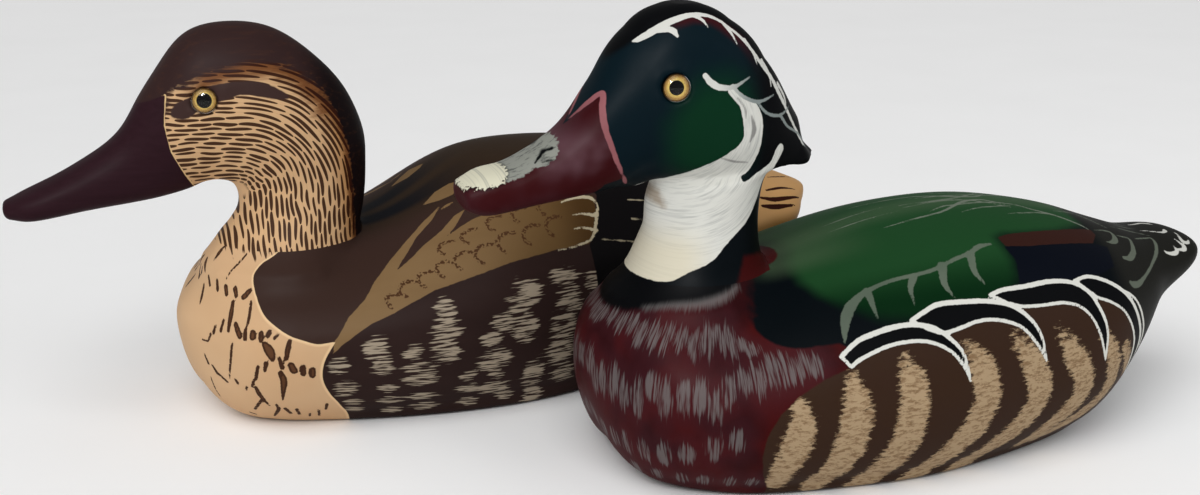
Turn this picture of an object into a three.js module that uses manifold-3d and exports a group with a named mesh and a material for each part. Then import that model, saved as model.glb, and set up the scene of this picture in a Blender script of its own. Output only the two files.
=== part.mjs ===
import * as THREE from "three";
import { mergeVertices } from "three/addons/utils/BufferGeometryUtils.js";
import Module from "manifold-3d";

// A pair of carved and painted wooden duck decoys, a hen and a drake, standing side by side.
// Each bird is a body block with a flat underside, a head block set on the body's flat neck seat,
// and two glass eyes. Millimetres, +Z up. Both birds look along -X, the hen stands on the +Y side.

const HEN_PLACE = { x: -194.5, y: 41.3, turn: 10 };
const DRAKE_PLACE = { x: -42.5, y: -73.1, turn: 0 };

const SEAT_GAP = 0.3;
const EYE_GAP = 0.3;
const EYE_RADIUS = 5.5;
const EYE_DOME = 2.6;
const EYE_DEPTH = 5;

const HEN_SEAT_HEIGHT = 80;
const HEN_SEAT_X = 34;
const HEN_HEAD_TURN = -12.5;
const HEN_EYE = { x: -12.8, y: 21.5, z: 67.4, forward: 10, up: 3 };

const DRAKE_SEAT_HEIGHT = 85;
const DRAKE_SEAT_X = 45.5;
const DRAKE_HEAD_TURN = 0;
const DRAKE_EYE = { x: -11, y: 22.5, z: 79.8, forward: 10, up: 3 };

// Body stations from breast to tail: distance from the breast, height of the back, half width,
// height of the widest line, height of the underside, share of the half width that lies flat,
// fullness of the upper and of the lower quarter (2 is an ellipse).
const HEN_BODY = [
  [3.5, 44.5, 0, 44.5, 44.5, 0, 2, 2],
  [10, 58.5, 26.5, 41.5, 17.5, 0.2, 1.9, 2],
  [27, 72.5, 51.5, 42, 2.5, 0.43, 1.9, 2.1],
  [63.5, 76, 65, 44, 0, 0.64, 1.9, 2.2],
  [105.5, 85.5, 75, 45, 0, 0.76, 2, 2.2],
  [151, 107, 78.5, 46, 0, 0.82, 2, 2.2],
  [198.5, 107.5, 73.5, 47, 0, 0.79, 2.1, 2.2],
  [241, 99.5, 64, 52, 3.5, 0.63, 2.1, 2.1],
  [280.5, 93, 50.5, 59, 19, 0.41, 2.1, 2],
  [314, 79.5, 38, 63.5, 39, 0.3, 2.2, 2],
  [333, 72, 22.5, 67.5, 56.5, 0.3, 2.6, 2],
  [344.5, 65.5, 0, 65.5, 65.5, 0, 2, 2],
];
const DRAKE_BODY = [
  [2.5, 50.5, 0, 50.5, 50.5, 0, 2, 2],
  [8.5, 67.5, 26.5, 45.5, 24.5, 0.2, 1.9, 2],
  [24, 78, 52, 43.5, 4.5, 0.51, 1.9, 2.1],
  [56.5, 79.5, 65.5, 41.5, 0, 0.69, 1.9, 2.2],
  [98, 90, 73, 42.5, 0, 0.73, 2, 2.2],
  [139, 99.5, 75, 42.5, 0, 0.73, 2, 2.2],
  [183, 101.5, 69.5, 42.5, 0, 0.66, 2.1, 2.2],
  [222.5, 95, 60.5, 45, 3, 0.55, 2.1, 2.1],
  [250, 86, 45.5, 54, 18, 0.38, 2.1, 2],
  [271, 79.5, 30.5, 64.5, 43, 0.3, 2.1, 2],
  [294.5, 77, 20.5, 70.5, 59.5, 0.2, 2.2, 2],
  [303, 70, 0, 70, 70, 0, 2, 2],
];

// Head stations from the seat over the crown to the bill tip: outer line x and z (nape, crown,
// forehead, ridge of the bill), inner line x and z (neck front, throat, underside of the bill),
// half width, fullness, and the lean of the widest line from the outer (under 1) to the inner line.
// The origin is the middle of the seat, +x is behind it.
const HEN_HEAD = [
  [52, 0, -9, 0, 29, 2, 1],
  [55.5, 12, -0.5, 13, 23.5, 2, 1],
  [57.5, 29, -0.5, 23, 21.5, 2, 1],
  [56.5, 49.5, -3.5, 27, 22.5, 2, 1],
  [44.5, 73.5, -7.5, 28, 24, 2, 0.95],
  [17.5, 95, -11, 28, 24, 2, 0.9],
  [-15, 95, -15.5, 27, 21.5, 2, 0.85],
  [-35.5, 72.5, -22, 24.5, 18, 2.1, 0.85],
  [-50, 51, -37.5, 21.5, 15, 2.3, 0.9],
  [-71, 37, -64, 19, 14.5, 2.6, 1],
  [-90.5, 28, -87, 16, 13, 2.6, 1],
  [-99.5, 24, -98, 17.5, 7.5, 2.4, 1],
];
const DRAKE_HEAD = [
  [35, 0, -21.5, 0, 29, 2, 1],
  [33.5, 20, -12, 23, 23, 2, 1],
  [37, 39.5, -9.5, 34.5, 21.5, 2, 1],
  [49, 44.5, -9.5, 37, 20, 2, 1],
  [61, 44, -9.5, 39, 18, 1.9, 1],
  [54, 56, -10, 40.5, 20.5, 2, 1],
  [43.5, 71.5, -11, 41, 23.5, 2, 0.95],
  [18, 101.5, -14, 41, 24.5, 2, 0.9],
  [-9.5, 109, -18, 40, 22.5, 2, 0.85],
  [-32.8, 86.5, -25.5, 37.5, 18.5, 2.1, 0.85],
  [-50, 64, -41, 35.5, 16, 2.3, 0.9],
  [-70.5, 51, -64, 33.5, 15.5, 2.6, 1],
  [-84, 48, -83.5, 31, 14, 2.8, 1],
  [-93, 43.5, -92, 34, 11, 2.8, 1],
];

// The neck stub that carries the seat: depth below the seat, and how far it spreads there.
const NECK_FLARE = [
  [0, 0],
  [3, 0.4],
  [7, 1.8],
  [11, 4],
  [15, 7],
  [20, 11],
];

const wasm = await Module();
wasm.setup();

function along(rows, steps, before, after) {
  const first = rows[0];
  const last = rows[rows.length - 1];
  const start = before ?? first.map((v, k) => 2 * v - rows[1][k]);
  const end = after ?? last.map((v, k) => 2 * v - rows[rows.length - 2][k]);
  const all = [start, ...rows, end];
  const out = [];
  for (let i = 1; i < all.length - 2; i++) {
    for (let s = 0; s < steps; s++) {
      const t = s / steps;
      const row = first.map((_, k) => {
        const a = all[i - 1][k];
        const b = all[i][k];
        const c = all[i + 1][k];
        const d = all[i + 2][k];
        const quadratic = 2 * a - 5 * b + 4 * c - d;
        const cubic = 3 * b - a - 3 * c + d;
        return 0.5 * (2 * b + (c - a) * t + quadratic * t * t + cubic * t * t * t);
      });
      out.push(row);
    }
  }
  out.push(last);
  return out;
}

// A closed surface through rings of equal count, ended by a fan to a point at each end.
function loft(rings, startPoint, endPoint) {
  const count = rings[0].length;
  const position = [...rings.flat(), startPoint, endPoint].flat();
  const startIndex = rings.length * count;
  const endIndex = startIndex + 1;
  const lastRing = startIndex - count;
  const index = [];
  for (let i = 0; i < rings.length - 1; i++) {
    for (let j = 0; j < count; j++) {
      const k = (j + 1) % count;
      const a = i * count + j;
      const b = i * count + k;
      index.push(a, b, a + count, b, b + count, a + count);
    }
  }
  for (let j = 0; j < count; j++) {
    const k = (j + 1) % count;
    index.push(startIndex, k, j);
    index.push(endIndex, lastRing + j, lastRing + k);
  }
  const geometry = new THREE.BufferGeometry();
  geometry.setAttribute("position", new THREE.Float32BufferAttribute(position, 3));
  geometry.setIndex(index);
  return geometry;
}

// The row before a rounded end: half width changes sign, heights mirror about the end's height.
function beyond(end, next) {
  const [x, top, half, wide, keel, ...rest] = next;
  return [x, 2 * end[1] - top, -half, wide, 2 * end[4] - keel, ...rest];
}

function bodyRing([x, top, half, wide, keel, flat, upper, lower]) {
  const arcPoints = 8;
  const side = [];
  for (let i = 0; i < arcPoints; i++) {
    const a = (i / (arcPoints - 1)) * (Math.PI / 2);
    const y = half * Math.sin(a) ** (2 / upper);
    side.push([y, wide + (top - wide) * Math.abs(Math.cos(a)) ** (2 / upper)]);
  }
  const share = Math.min(Math.max(flat, 0), 0.97);
  const depth = (wide - keel) / (1 - share ** lower) ** (1 / lower);
  const edge = Math.acos(share ** (lower / 2));
  for (let i = 1; i < arcPoints; i++) {
    const a = (i / (arcPoints - 1)) * edge;
    const z = i === arcPoints - 1 ? keel : wide - depth * Math.sin(a) ** (2 / lower);
    side.push([half * Math.cos(a) ** (2 / lower), z]);
  }
  side.push([side[side.length - 1][0] / 2, keel]);
  side.push([0, keel]);
  const other = side.slice(1, -1).reverse();
  return [...side.map(([y, z]) => [x, -y, z]), ...other.map(([y, z]) => [x, y, z])];
}

function bodyGeometry(rows) {
  const last = rows[rows.length - 1];
  const before = beyond(rows[0], rows[1]);
  const after = beyond(last, rows[rows.length - 2]);
  const stations = along(rows, 3, before, after);
  const rings = stations.slice(1, -1).map((row) => {
    const keel = Math.max(row[4], 0);
    return bodyRing([row[0], row[1], Math.abs(row[2]), row[3], keel, row[5], row[6], row[7]]);
  });
  return loft(rings, [rows[0][0], 0, rows[0][1]], [last[0], 0, last[1]]);
}

function headRing([outerX, outerZ, innerX, innerZ, half, full, lean], spread = 0) {
  const points = 24;
  const length = Math.hypot(outerX - innerX, outerZ - innerZ);
  const stretch = spread / length;
  const ring = [];
  for (let j = 0; j < points; j++) {
    const a = (j / points) * 2 * Math.PI;
    const c = Math.cos(a);
    const s = Math.sin(a);
    const t = (Math.sign(c) * Math.abs(c) ** (2 / full) + 1) / 2;
    const leaned = lean >= 1 ? t ** lean : 1 - (1 - t) ** (1 / lean);
    const share = leaned * (1 + 2 * stretch) - stretch;
    const y = (half + spread) * Math.sign(s) * Math.abs(s) ** (2 / full);
    ring.push([innerX + (outerX - innerX) * share, y, innerZ + (outerZ - innerZ) * share]);
  }
  return ring;
}

function middle(ring) {
  return [0, 1, 2].map((k) => ring.reduce((sum, p) => sum + p[k], 0) / ring.length);
}

function headGeometry(rows) {
  const rings = along(rows, 3).map((row) => headRing(row));
  return loft(rings, middle(rings[0]), middle(rings[rings.length - 1]));
}

function stubGeometry(seatRow) {
  const rings = NECK_FLARE.map(([depth, spread]) => {
    return headRing(seatRow, spread).map(([x, y]) => [x, y, -depth]);
  });
  rings.reverse();
  return loft(rings, middle(rings[0]), middle(rings[rings.length - 1]));
}

// A glass eye: a round button with a domed front on +z and a rounded back, its face at z = 0.
function eyeGeometry(radius, dome, depth) {
  const profile = [new THREE.Vector2(0, -depth)];
  profile.push(new THREE.Vector2(radius * 0.75, -depth));
  profile.push(new THREE.Vector2(radius, -depth * 0.6));
  profile.push(new THREE.Vector2(radius, 0));
  for (let i = 1; i < 4; i++) {
    const a = (i / 4) * (Math.PI / 2);
    profile.push(new THREE.Vector2(radius * Math.cos(a), dome * Math.sin(a)));
  }
  profile.push(new THREE.Vector2(0, dome));
  return new THREE.LatheGeometry(profile, 20).rotateX(Math.PI / 2);
}

// The bore that takes the eye, open to the outside of the head.
function socketGeometry(radius, depth) {
  const length = depth + 14;
  const bore = new THREE.CylinderGeometry(radius, radius, length, 24).rotateX(Math.PI / 2);
  return bore.translate(0, 0, length / 2 - depth);
}

function solid(geometry) {
  const bare = geometry.clone();
  bare.deleteAttribute("normal");
  bare.deleteAttribute("uv");
  const merged = mergeVertices(bare, 1e-4);
  const vertProperties = merged.attributes.position.array;
  const triVerts = new Uint32Array(merged.index.array);
  return new wasm.Manifold(new wasm.Mesh({ numProp: 3, vertProperties, triVerts }));
}

function geometryOf(manifold) {
  const { vertProperties, triVerts, numProp } = manifold.getMesh();
  const position = [];
  for (let i = 0; i < vertProperties.length; i += numProp) {
    position.push(vertProperties[i], vertProperties[i + 1], vertProperties[i + 2]);
  }
  const geometry = new THREE.BufferGeometry();
  geometry.setAttribute("position", new THREE.Float32BufferAttribute(position, 3));
  geometry.setIndex(Array.from(triVerts));
  geometry.computeVertexNormals();
  return geometry;
}

function eyeMatrix(eye, side) {
  const forward = THREE.MathUtils.degToRad(eye.forward);
  const up = THREE.MathUtils.degToRad(eye.up);
  const outward = new THREE.Vector3(-Math.sin(forward), side * Math.cos(forward), Math.sin(up));
  const turn = new THREE.Quaternion();
  turn.setFromUnitVectors(new THREE.Vector3(0, 0, 1), outward.normalize());
  const place = new THREE.Vector3(eye.x, side * eye.y, eye.z);
  return new THREE.Matrix4().compose(place, turn, new THREE.Vector3(1, 1, 1));
}

function bird(name, spec) {
  const paintedWood = new THREE.MeshStandardMaterial({
    name: name + "_paint",
    color: spec.bodyColour,
    roughness: 0.4,
    metalness: 0,
  });
  const headPaint = new THREE.MeshStandardMaterial({
    name: name + "_head_paint",
    color: spec.headColour,
    roughness: 0.4,
    metalness: 0,
  });
  const glass = new THREE.MeshStandardMaterial({
    name: name + "_glass",
    color: 0xb8985a,
    roughness: 0.06,
    metalness: 0,
  });

  const block = solid(bodyGeometry(spec.body));
  const neck = stubGeometry(spec.head[0]).rotateZ(THREE.MathUtils.degToRad(spec.headTurn));
  const stub = solid(neck.translate(spec.seatX, 0, spec.seatHeight));
  const body = new THREE.Mesh(geometryOf(block.add(stub)), paintedWood);
  body.name = name + "_body";

  const headGroup = new THREE.Group();
  headGroup.position.set(spec.seatX, 0, spec.seatHeight + SEAT_GAP);
  headGroup.rotation.z = THREE.MathUtils.degToRad(spec.headTurn);
  let headSolid = solid(headGeometry(spec.head));
  for (const [label, side] of [["left", -1], ["right", 1]]) {
    const matrix = eyeMatrix(spec.eye, side);
    const socket = socketGeometry(EYE_RADIUS + EYE_GAP, EYE_DEPTH + EYE_GAP);
    headSolid = headSolid.subtract(solid(socket.applyMatrix4(matrix)));
    const eye = new THREE.Mesh(eyeGeometry(EYE_RADIUS, EYE_DOME, EYE_DEPTH), glass);
    eye.name = name + "_eye_" + label;
    eye.applyMatrix4(matrix);
    headGroup.add(eye);
  }
  const head = new THREE.Mesh(geometryOf(headSolid), headPaint);
  head.name = name + "_head";
  headGroup.add(head);

  const group = new THREE.Group();
  group.add(body, headGroup);
  group.position.set(spec.place.x, spec.place.y, 0);
  group.rotation.z = THREE.MathUtils.degToRad(spec.place.turn);
  return group;
}

const pair = new THREE.Group();
pair.add(
  bird("hen", {
    place: HEN_PLACE,
    body: HEN_BODY,
    head: HEN_HEAD,
    seatX: HEN_SEAT_X,
    seatHeight: HEN_SEAT_HEIGHT,
    headTurn: HEN_HEAD_TURN,
    eye: HEN_EYE,
    bodyColour: 0x4a3a30,
    headColour: 0xb89372,
  }),
  bird("drake", {
    place: DRAKE_PLACE,
    body: DRAKE_BODY,
    head: DRAKE_HEAD,
    seatX: DRAKE_SEAT_X,
    seatHeight: DRAKE_SEAT_HEIGHT,
    headTurn: DRAKE_HEAD_TURN,
    eye: DRAKE_EYE,
    bodyColour: 0x3f2420,
    headColour: 0x12302c,
  }),
);

export default pair;
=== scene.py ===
import math
from contextlib import contextmanager

import bmesh
import bpy
import numpy as np
from mathutils import Matrix, Vector


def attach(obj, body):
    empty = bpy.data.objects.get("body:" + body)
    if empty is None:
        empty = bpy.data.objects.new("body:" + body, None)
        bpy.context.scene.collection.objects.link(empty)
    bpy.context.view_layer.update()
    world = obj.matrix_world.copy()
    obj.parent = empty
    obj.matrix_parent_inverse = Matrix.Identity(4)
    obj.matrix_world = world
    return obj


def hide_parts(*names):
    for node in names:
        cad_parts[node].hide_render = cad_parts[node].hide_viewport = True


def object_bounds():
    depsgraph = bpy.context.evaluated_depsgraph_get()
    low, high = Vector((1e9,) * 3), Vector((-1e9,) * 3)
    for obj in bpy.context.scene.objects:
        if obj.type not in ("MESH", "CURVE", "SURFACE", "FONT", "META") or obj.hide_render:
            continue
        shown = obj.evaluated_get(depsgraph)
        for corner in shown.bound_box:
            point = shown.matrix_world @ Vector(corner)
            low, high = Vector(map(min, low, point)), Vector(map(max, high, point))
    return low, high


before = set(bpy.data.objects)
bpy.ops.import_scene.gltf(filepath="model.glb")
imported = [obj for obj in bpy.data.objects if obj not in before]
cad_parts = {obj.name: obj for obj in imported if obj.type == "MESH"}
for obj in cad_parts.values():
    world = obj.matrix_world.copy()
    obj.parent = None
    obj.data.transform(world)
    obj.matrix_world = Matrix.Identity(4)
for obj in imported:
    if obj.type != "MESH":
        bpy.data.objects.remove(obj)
cad_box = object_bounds()

# The camera stands low in front of the pair and a little to the left, and looks slightly down
# across the hen's bill to the drake's tail.
CAMERA_PLACE = (-0.2356, -0.6464, 0.2848)
CAMERA_TURN = -19.6
CAMERA_DIP = 17.19
LENS_MM = 46.96
FILM_MM = 36.0
camera_data = bpy.data.cameras.new("camera")
camera_data.lens = LENS_MM
camera_data.sensor_width = FILM_MM
camera = bpy.data.objects.new("camera", camera_data)
camera.location = CAMERA_PLACE
camera.rotation_euler = (math.radians(90 - CAMERA_DIP), 0, math.radians(CAMERA_TURN))
bpy.context.collection.objects.link(camera)
bpy.context.scene.camera = camera
bpy.context.scene.view_settings.view_transform = "Standard"

# Each bird is a carved wooden block with a separate carved head glued on a flat neck seat. The
# joint is filled, sanded and painted over, so the neck runs on without a step.
MM = 0.001
# In millimetres, from the front of the breast. A pad is where the carver left the wood fuller or
# pared it: how far back, aside and up it is, its reach and its thickness.
HEN = {"place": (-194.5, 41.3), "turn": 10.0, "seat": (34.0, 80.0), "seat_back": 84.0,
       "head_turn": -12.5, "eye_z": 67.4,
       "pads": [(24, 4, 82, 17, 2.0), (28, 4, 90, 12, 1.6), (15, 21, 13, 26, 1.2),
                (312, 38, 62, 19, 3.2)]}
DRAKE = {"place": (-42.5, -73.1), "turn": 0.0, "seat": (45.5, 85.0), "seat_back": 79.0,
         "head_turn": 0.0, "eye_z": 79.8,
         "pads": [(76, 13, 165, 26, 2.4), (68, 12, 177, 26, 3.0), (56, 8, 188, 22, 2.2),
                  (18, 0, 179, 20, 2.6), (25, 0, 186, 16, 2.0), (104, 5, 137, 13, -3.4),
                  (94, 6, 127, 11, 2.4), (35, 0, 115, 17, 4.0), (30, 4, 121, 15, 3.0),
                  (14, 20, 18, 32, 1.8)]}
SEAT_BACK_SLOPE = 38.0
SEAT_GAP = 0.3
WELD = 1e-6
SEAM_WELD = 5e-5
LEVEL = 0.99
SEAT_RING = 0.05
QUAD_FLATNESS = 0.6
QUAD_SQUARENESS = 0.8
CAGE_TRIES = 4
CAGE_LEVELS = 2
ROUGH_GRAIN = 1.0
ROUGH_SMOOTHING = 8
FINE_SMOOTHING = 4
PIECE_SMOOTHING = 5
SPARE_NECK = 26.0
NECK_MIDDLE = 54.0
NECK_RADIUS = 34.0
NECK_REACH = 64.0
REACH_FADE = 18.0
FILLER_LOW = (-34.0, 12.0)
FILLER_HIGH = (20.0, 10.0)
SANDING_PASSES = 240
SANDING = (0.5, -0.51)
FILLER_PASSES = 300
FILLER_STEP = 0.5
FILLER_TURNS = 10
FILLER_THIN_BEHIND = 0.5
SKIRT_PROFILE = [(10, -24), (10, -9.2), (7, -6.8), (4.2, -4.2), (2, -2), (0.3, 0), (-1.2, 2),
                 (-4, 5), (-8, 9)]
FLAT = 0.3
SHARP_EDGE = 50.0


def alone(piece):
    bpy.ops.object.select_all(action="DESELECT")
    piece.select_set(True)
    bpy.context.view_layer.objects.active = piece


def finish_with(piece, kind, **settings):
    alone(piece)
    modifier = piece.modifiers.new(kind, kind)
    for name, value in settings.items():
        setattr(modifier, name, value)
    bpy.ops.object.modifier_apply(modifier=modifier.name)


@contextmanager
def carving(mesh):
    shape = bmesh.new()
    shape.from_mesh(mesh)
    yield shape
    shape.to_mesh(mesh)
    shape.free()


def saw(shape, spot, facing, clear=False):
    everything = shape.verts[:] + shape.edges[:] + shape.faces[:]
    bmesh.ops.bisect_plane(shape, geom=everything, dist=WELD, plane_co=spot, plane_no=facing,
                           clear_outer=clear)


def open_edges(shape):
    return [edge for edge in shape.edges if len(edge.link_faces) == 1]


def new_piece(name, mesh):
    piece = bpy.data.objects.new(name, mesh)
    bpy.context.collection.objects.link(piece)
    return piece


def vertices(piece):
    flat = np.empty(len(piece.data.vertices) * 3, dtype=np.float32)
    piece.data.vertices.foreach_get("co", flat)
    return flat.reshape(-1, 3).astype(float) / MM


def move_vertices(piece, points):
    piece.data.vertices.foreach_set("co", (points * MM).astype(np.float32).ravel())
    piece.data.update()


def turned(points, degrees):
    turn = math.radians(degrees)
    x = points[:, 0] * math.cos(turn) - points[:, 1] * math.sin(turn)
    y = points[:, 0] * math.sin(turn) + points[:, 1] * math.cos(turn)
    return np.stack((x, y, points[:, 2]), axis=1)


def in_bird(points, bird):
    moved = points - np.array([*bird["place"], 0.0])
    return turned(moved, -bird["turn"])


def in_head(points, bird):
    seat = np.array([bird["seat"][0], 0.0, bird["seat"][1] + SEAT_GAP])
    return turned(in_bird(points, bird) - seat, -bird["head_turn"])


def build_up(piece, bird):
    """Thicken or pare the rounded surface a little where the carver left it full or thin."""
    points = vertices(piece)
    outward = np.empty(len(points) * 3, dtype=np.float32)
    piece.data.vertices.foreach_get("normal", outward)
    local = in_bird(points, bird)
    local[:, 1] = np.abs(local[:, 1])
    full = np.zeros(len(points))
    thin = np.zeros(len(points))
    for x, y, z, reach, thick in bird["pads"]:
        share = np.clip(1 - ((local - (x, y, z)) ** 2).sum(axis=1) / reach ** 2, 0, 1) ** 2
        full = np.maximum(full, thick * share)
        thin = np.minimum(thin, thick * share)
    move_vertices(piece, points + (full + thin)[:, None] * outward.reshape(-1, 3))


def fill_creases(piece, bird):
    """Filler pressed with a finger into the inside corners round the neck: it only ever adds."""
    points = vertices(piece)
    local = in_bird(points, bird)
    aside = np.hypot(local[:, 0] - NECK_MIDDLE, local[:, 1])
    above = local[:, 2] - bird["seat"][1]
    share = np.clip((NECK_REACH - aside) / REACH_FADE, 0, 1)
    share *= np.clip((above - FILLER_LOW[0]) / FILLER_LOW[1], 0, 1)
    share *= np.clip((FILLER_HIGH[0] - above) / FILLER_HIGH[1], 0, 1)
    near = np.flatnonzero(share > 0)
    number = np.full(len(points), -1)
    number[near] = np.arange(len(near))
    edges = np.empty(len(piece.data.edges) * 2, dtype=np.int32)
    piece.data.edges.foreach_get("vertices", edges)
    edges = number[edges.reshape(-1, 2)]
    one, two = edges[(edges >= 0).all(axis=1)].T
    corners = np.empty(len(piece.data.loops), dtype=np.int32)
    piece.data.loops.foreach_get("vertex_index", corners)
    quads = number[corners.reshape(-1, 4)]
    quads = quads[(quads >= 0).all(axis=1)]
    count = len(near)
    links = np.maximum(np.bincount(one, minlength=count) + np.bincount(two, minlength=count), 1)
    spot = points[near]

    def neighbours():
        mean = np.empty_like(spot)
        for axis in range(3):
            mean[:, axis] = (np.bincount(one, spot[two, axis], count)
                             + np.bincount(two, spot[one, axis], count)) / links
        return mean

    for step in range(SANDING_PASSES):
        spot += (SANDING[step % 2] * share[near])[:, None] * (neighbours() - spot)
    for step in range(FILLER_PASSES):
        if step % FILLER_TURNS == 0:
            across = spot[quads[:, 2]] - spot[quads[:, 0]]
            face = np.cross(across, spot[quads[:, 3]] - spot[quads[:, 1]])
            outward = np.zeros((count, 3))
            for corner in range(4):
                for axis in range(3):
                    outward[:, axis] += np.bincount(quads[:, corner], face[:, axis], count)
            outward /= np.maximum(np.linalg.norm(outward, axis=1), 1e-9)[:, None]
        lift = ((neighbours() - spot) * outward).sum(axis=1)
        spot += (FILLER_STEP * share[near] * np.maximum(lift, 0))[:, None] * outward
    points[near] = spot
    move_vertices(piece, points)


def filler_skirt(ring, bird):
    """Filler wiped down round the joint; its inner and lower rows are buried in the wood."""
    middle = ring.mean(axis=0)
    outward = ring - middle
    ring = ring[np.argsort(np.arctan2(outward[:, 1], outward[:, 0]))]
    outward = (ring - middle) * (1, 1, 0)
    outward /= np.linalg.norm(outward, axis=1)[:, None]
    behind = turned(outward, -bird["turn"])[:, 0]
    full = 1 - FILLER_THIN_BEHIND * np.clip(behind, 0, 1)
    rows = []
    for grow, rise in SKIRT_PROFILE:
        wider = full[:, None] * grow if grow > 0 else grow
        rows.append(ring + outward * wider + (0, 0, rise))
    count = len(ring)
    top = (len(rows) - 1) * count
    faces = [tuple(range(count))[::-1], tuple(range(top, top + count))]
    for low in range(0, top, count):
        for i in range(count):
            j = (i + 1) % count
            faces.append((low + i, low + j, low + count + j, low + count + i))
    mesh = bpy.data.meshes.new("skirt")
    mesh.from_pydata((np.vstack(rows) * MM).tolist(), [], faces)
    return new_piece("skirt", mesh)


def glued_blank(name, bird):
    """Body and head of one bird joined at the neck seat and rounded to the carved surface."""
    seat = bird["seat"][1]
    shape = bmesh.new()
    for part, drop in (("_body", 0.0), ("_head", SEAT_GAP * MM)):
        half = bmesh.new()
        half.from_mesh(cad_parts[name + part].data)
        bmesh.ops.remove_doubles(half, verts=half.verts, dist=WELD)
        bmesh.ops.translate(half, verts=half.verts, vec=(0, 0, -drop))
        caps = []
        for face in half.faces:
            above = abs(face.calc_center_median().z - seat * MM)
            if abs(face.normal.z) > LEVEL and above < SEAM_WELD:
                caps.append(face)
        bmesh.ops.delete(half, geom=caps, context="FACES")
        mesh = bpy.data.meshes.new(name + part + "_half")
        half.to_mesh(mesh)
        shape.from_mesh(mesh)
        half.free()
    loose = [v for v in shape.verts if not v.link_faces]
    bmesh.ops.delete(shape, geom=loose, context="VERTS")
    bmesh.ops.remove_doubles(shape, verts=shape.verts, dist=SEAM_WELD)
    bmesh.ops.join_triangles(shape, faces=shape.faces, angle_face_threshold=QUAD_FLATNESS,
                             angle_shape_threshold=QUAD_SQUARENESS)
    mesh = bpy.data.meshes.new(name + "_blank")
    shape.to_mesh(mesh)
    shape.free()
    piece = new_piece(name + "_blank", mesh)
    corners = vertices(piece)
    cage = corners.copy()
    for _ in range(CAGE_TRIES):
        trial = new_piece("trial", piece.data.copy())
        move_vertices(trial, cage)
        finish_with(trial, "SUBSURF", levels=CAGE_LEVELS, render_levels=CAGE_LEVELS)
        cage += corners - vertices(trial)[:len(corners)]
        bpy.data.objects.remove(trial)
    move_vertices(piece, cage)
    finish_with(piece, "SUBSURF", levels=CAGE_LEVELS, render_levels=CAGE_LEVELS)
    aside = in_bird(corners, bird)
    ring = np.hypot(aside[:, 0] - NECK_MIDDLE, aside[:, 1]) < NECK_RADIUS
    ring &= np.abs(corners[:, 2] - seat) < SEAT_RING
    skirt = filler_skirt(corners[ring], bird)
    alone(piece)
    skirt.select_set(True)
    bpy.ops.object.join()
    finish_with(piece, "REMESH", mode="VOXEL", voxel_size=ROUGH_GRAIN * MM, adaptivity=0.0)
    finish_with(piece, "SMOOTH", factor=0.5, iterations=ROUGH_SMOOTHING)
    build_up(piece, bird)
    fill_creases(piece, bird)
    finish_with(piece, "SMOOTH", factor=0.5, iterations=FINE_SMOOTHING)
    return piece


def split(shape, bird, keep_head):
    """Cut at the neck seat, which is level and turns up behind the neck, and close the cut."""
    slope = math.radians(SEAT_BACK_SLOPE)
    turn = Matrix.Rotation(math.radians(bird["turn"]), 3, "Z")
    corner = turn @ Vector((bird["seat_back"], 0, 0)) + Vector((*bird["place"], bird["seat"][1]))
    corner *= MM
    planes = (Vector((0, 0, 1)), turn @ Vector((-math.sin(slope), 0, math.cos(slope))))
    for normal in planes:
        saw(shape, corner, normal)
    crown = max(shape.verts, key=lambda vertex: vertex.co.z)
    head_faces = set(crown.link_faces)
    front = list(head_faces)
    while front:
        for edge in front.pop().edges:
            for face in edge.link_faces:
                if face in head_faces:
                    continue
                middle = face.calc_center_median() - corner
                if all(middle.dot(normal) > 0 for normal in planes):
                    head_faces.add(face)
                    front.append(face)
    spare = [face for face in shape.faces if (face in head_faces) != keep_head]
    bmesh.ops.delete(shape, geom=spare, context="FACES")
    rim = open_edges(shape)
    ends = {vertex for edge in rim for vertex in edge.verts}
    ends = [v for v in ends if all(abs((v.co - corner).dot(n)) < 2 * WELD for n in planes)]
    sideways = turn @ Vector((0, 1, 0))
    ends.sort(key=lambda vertex: vertex.co.dot(sideways))
    fold = shape.edges.new((ends[0], ends[-1]))
    bmesh.ops.edgenet_fill(shape, edges=rim + [fold])
    bmesh.ops.recalc_face_normals(shape, faces=shape.faces)


def carved(blank, name, bird, grain, is_head):
    """One piece of the blank, sanded smooth, cut off at the neck seat and flat underneath."""
    piece = new_piece(name, blank.data.copy())
    if is_head:
        with carving(piece.data) as shape:
            saw(shape, (0, 0, (bird["seat"][1] - SPARE_NECK) * MM), (0, 0, -1), clear=True)
            bmesh.ops.edgenet_fill(shape, edges=open_edges(shape))
    finish_with(piece, "REMESH", mode="VOXEL", voxel_size=grain * MM, adaptivity=0.0)
    finish_with(piece, "SMOOTH", factor=0.5, iterations=PIECE_SMOOTHING)
    with carving(piece.data) as shape:
        split(shape, bird, is_head)
    move_vertices(piece, np.clip(vertices(piece), *(np.array(corner) / MM for corner in cad_box)))
    with carving(piece.data) as shape:
        for vertex in shape.verts:
            if vertex.co.z < FLAT * MM:
                vertex.co.z = 0.0
        flat = [face for face in shape.faces if all(vertex.co.z == 0.0 for vertex in face.verts)]
        bmesh.ops.delete(shape, geom=flat, context="FACES")
        bmesh.ops.holes_fill(shape, edges=open_edges(shape), sides=0)
    alone(piece)
    bpy.ops.object.shade_smooth_by_angle(angle=math.radians(SHARP_EDGE))
    return piece


def takes_place_of(piece, node):
    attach(piece, "root")
    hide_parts(node)


hen_blank = glued_blank("hen", HEN)
drake_blank = glued_blank("drake", DRAKE)

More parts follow.
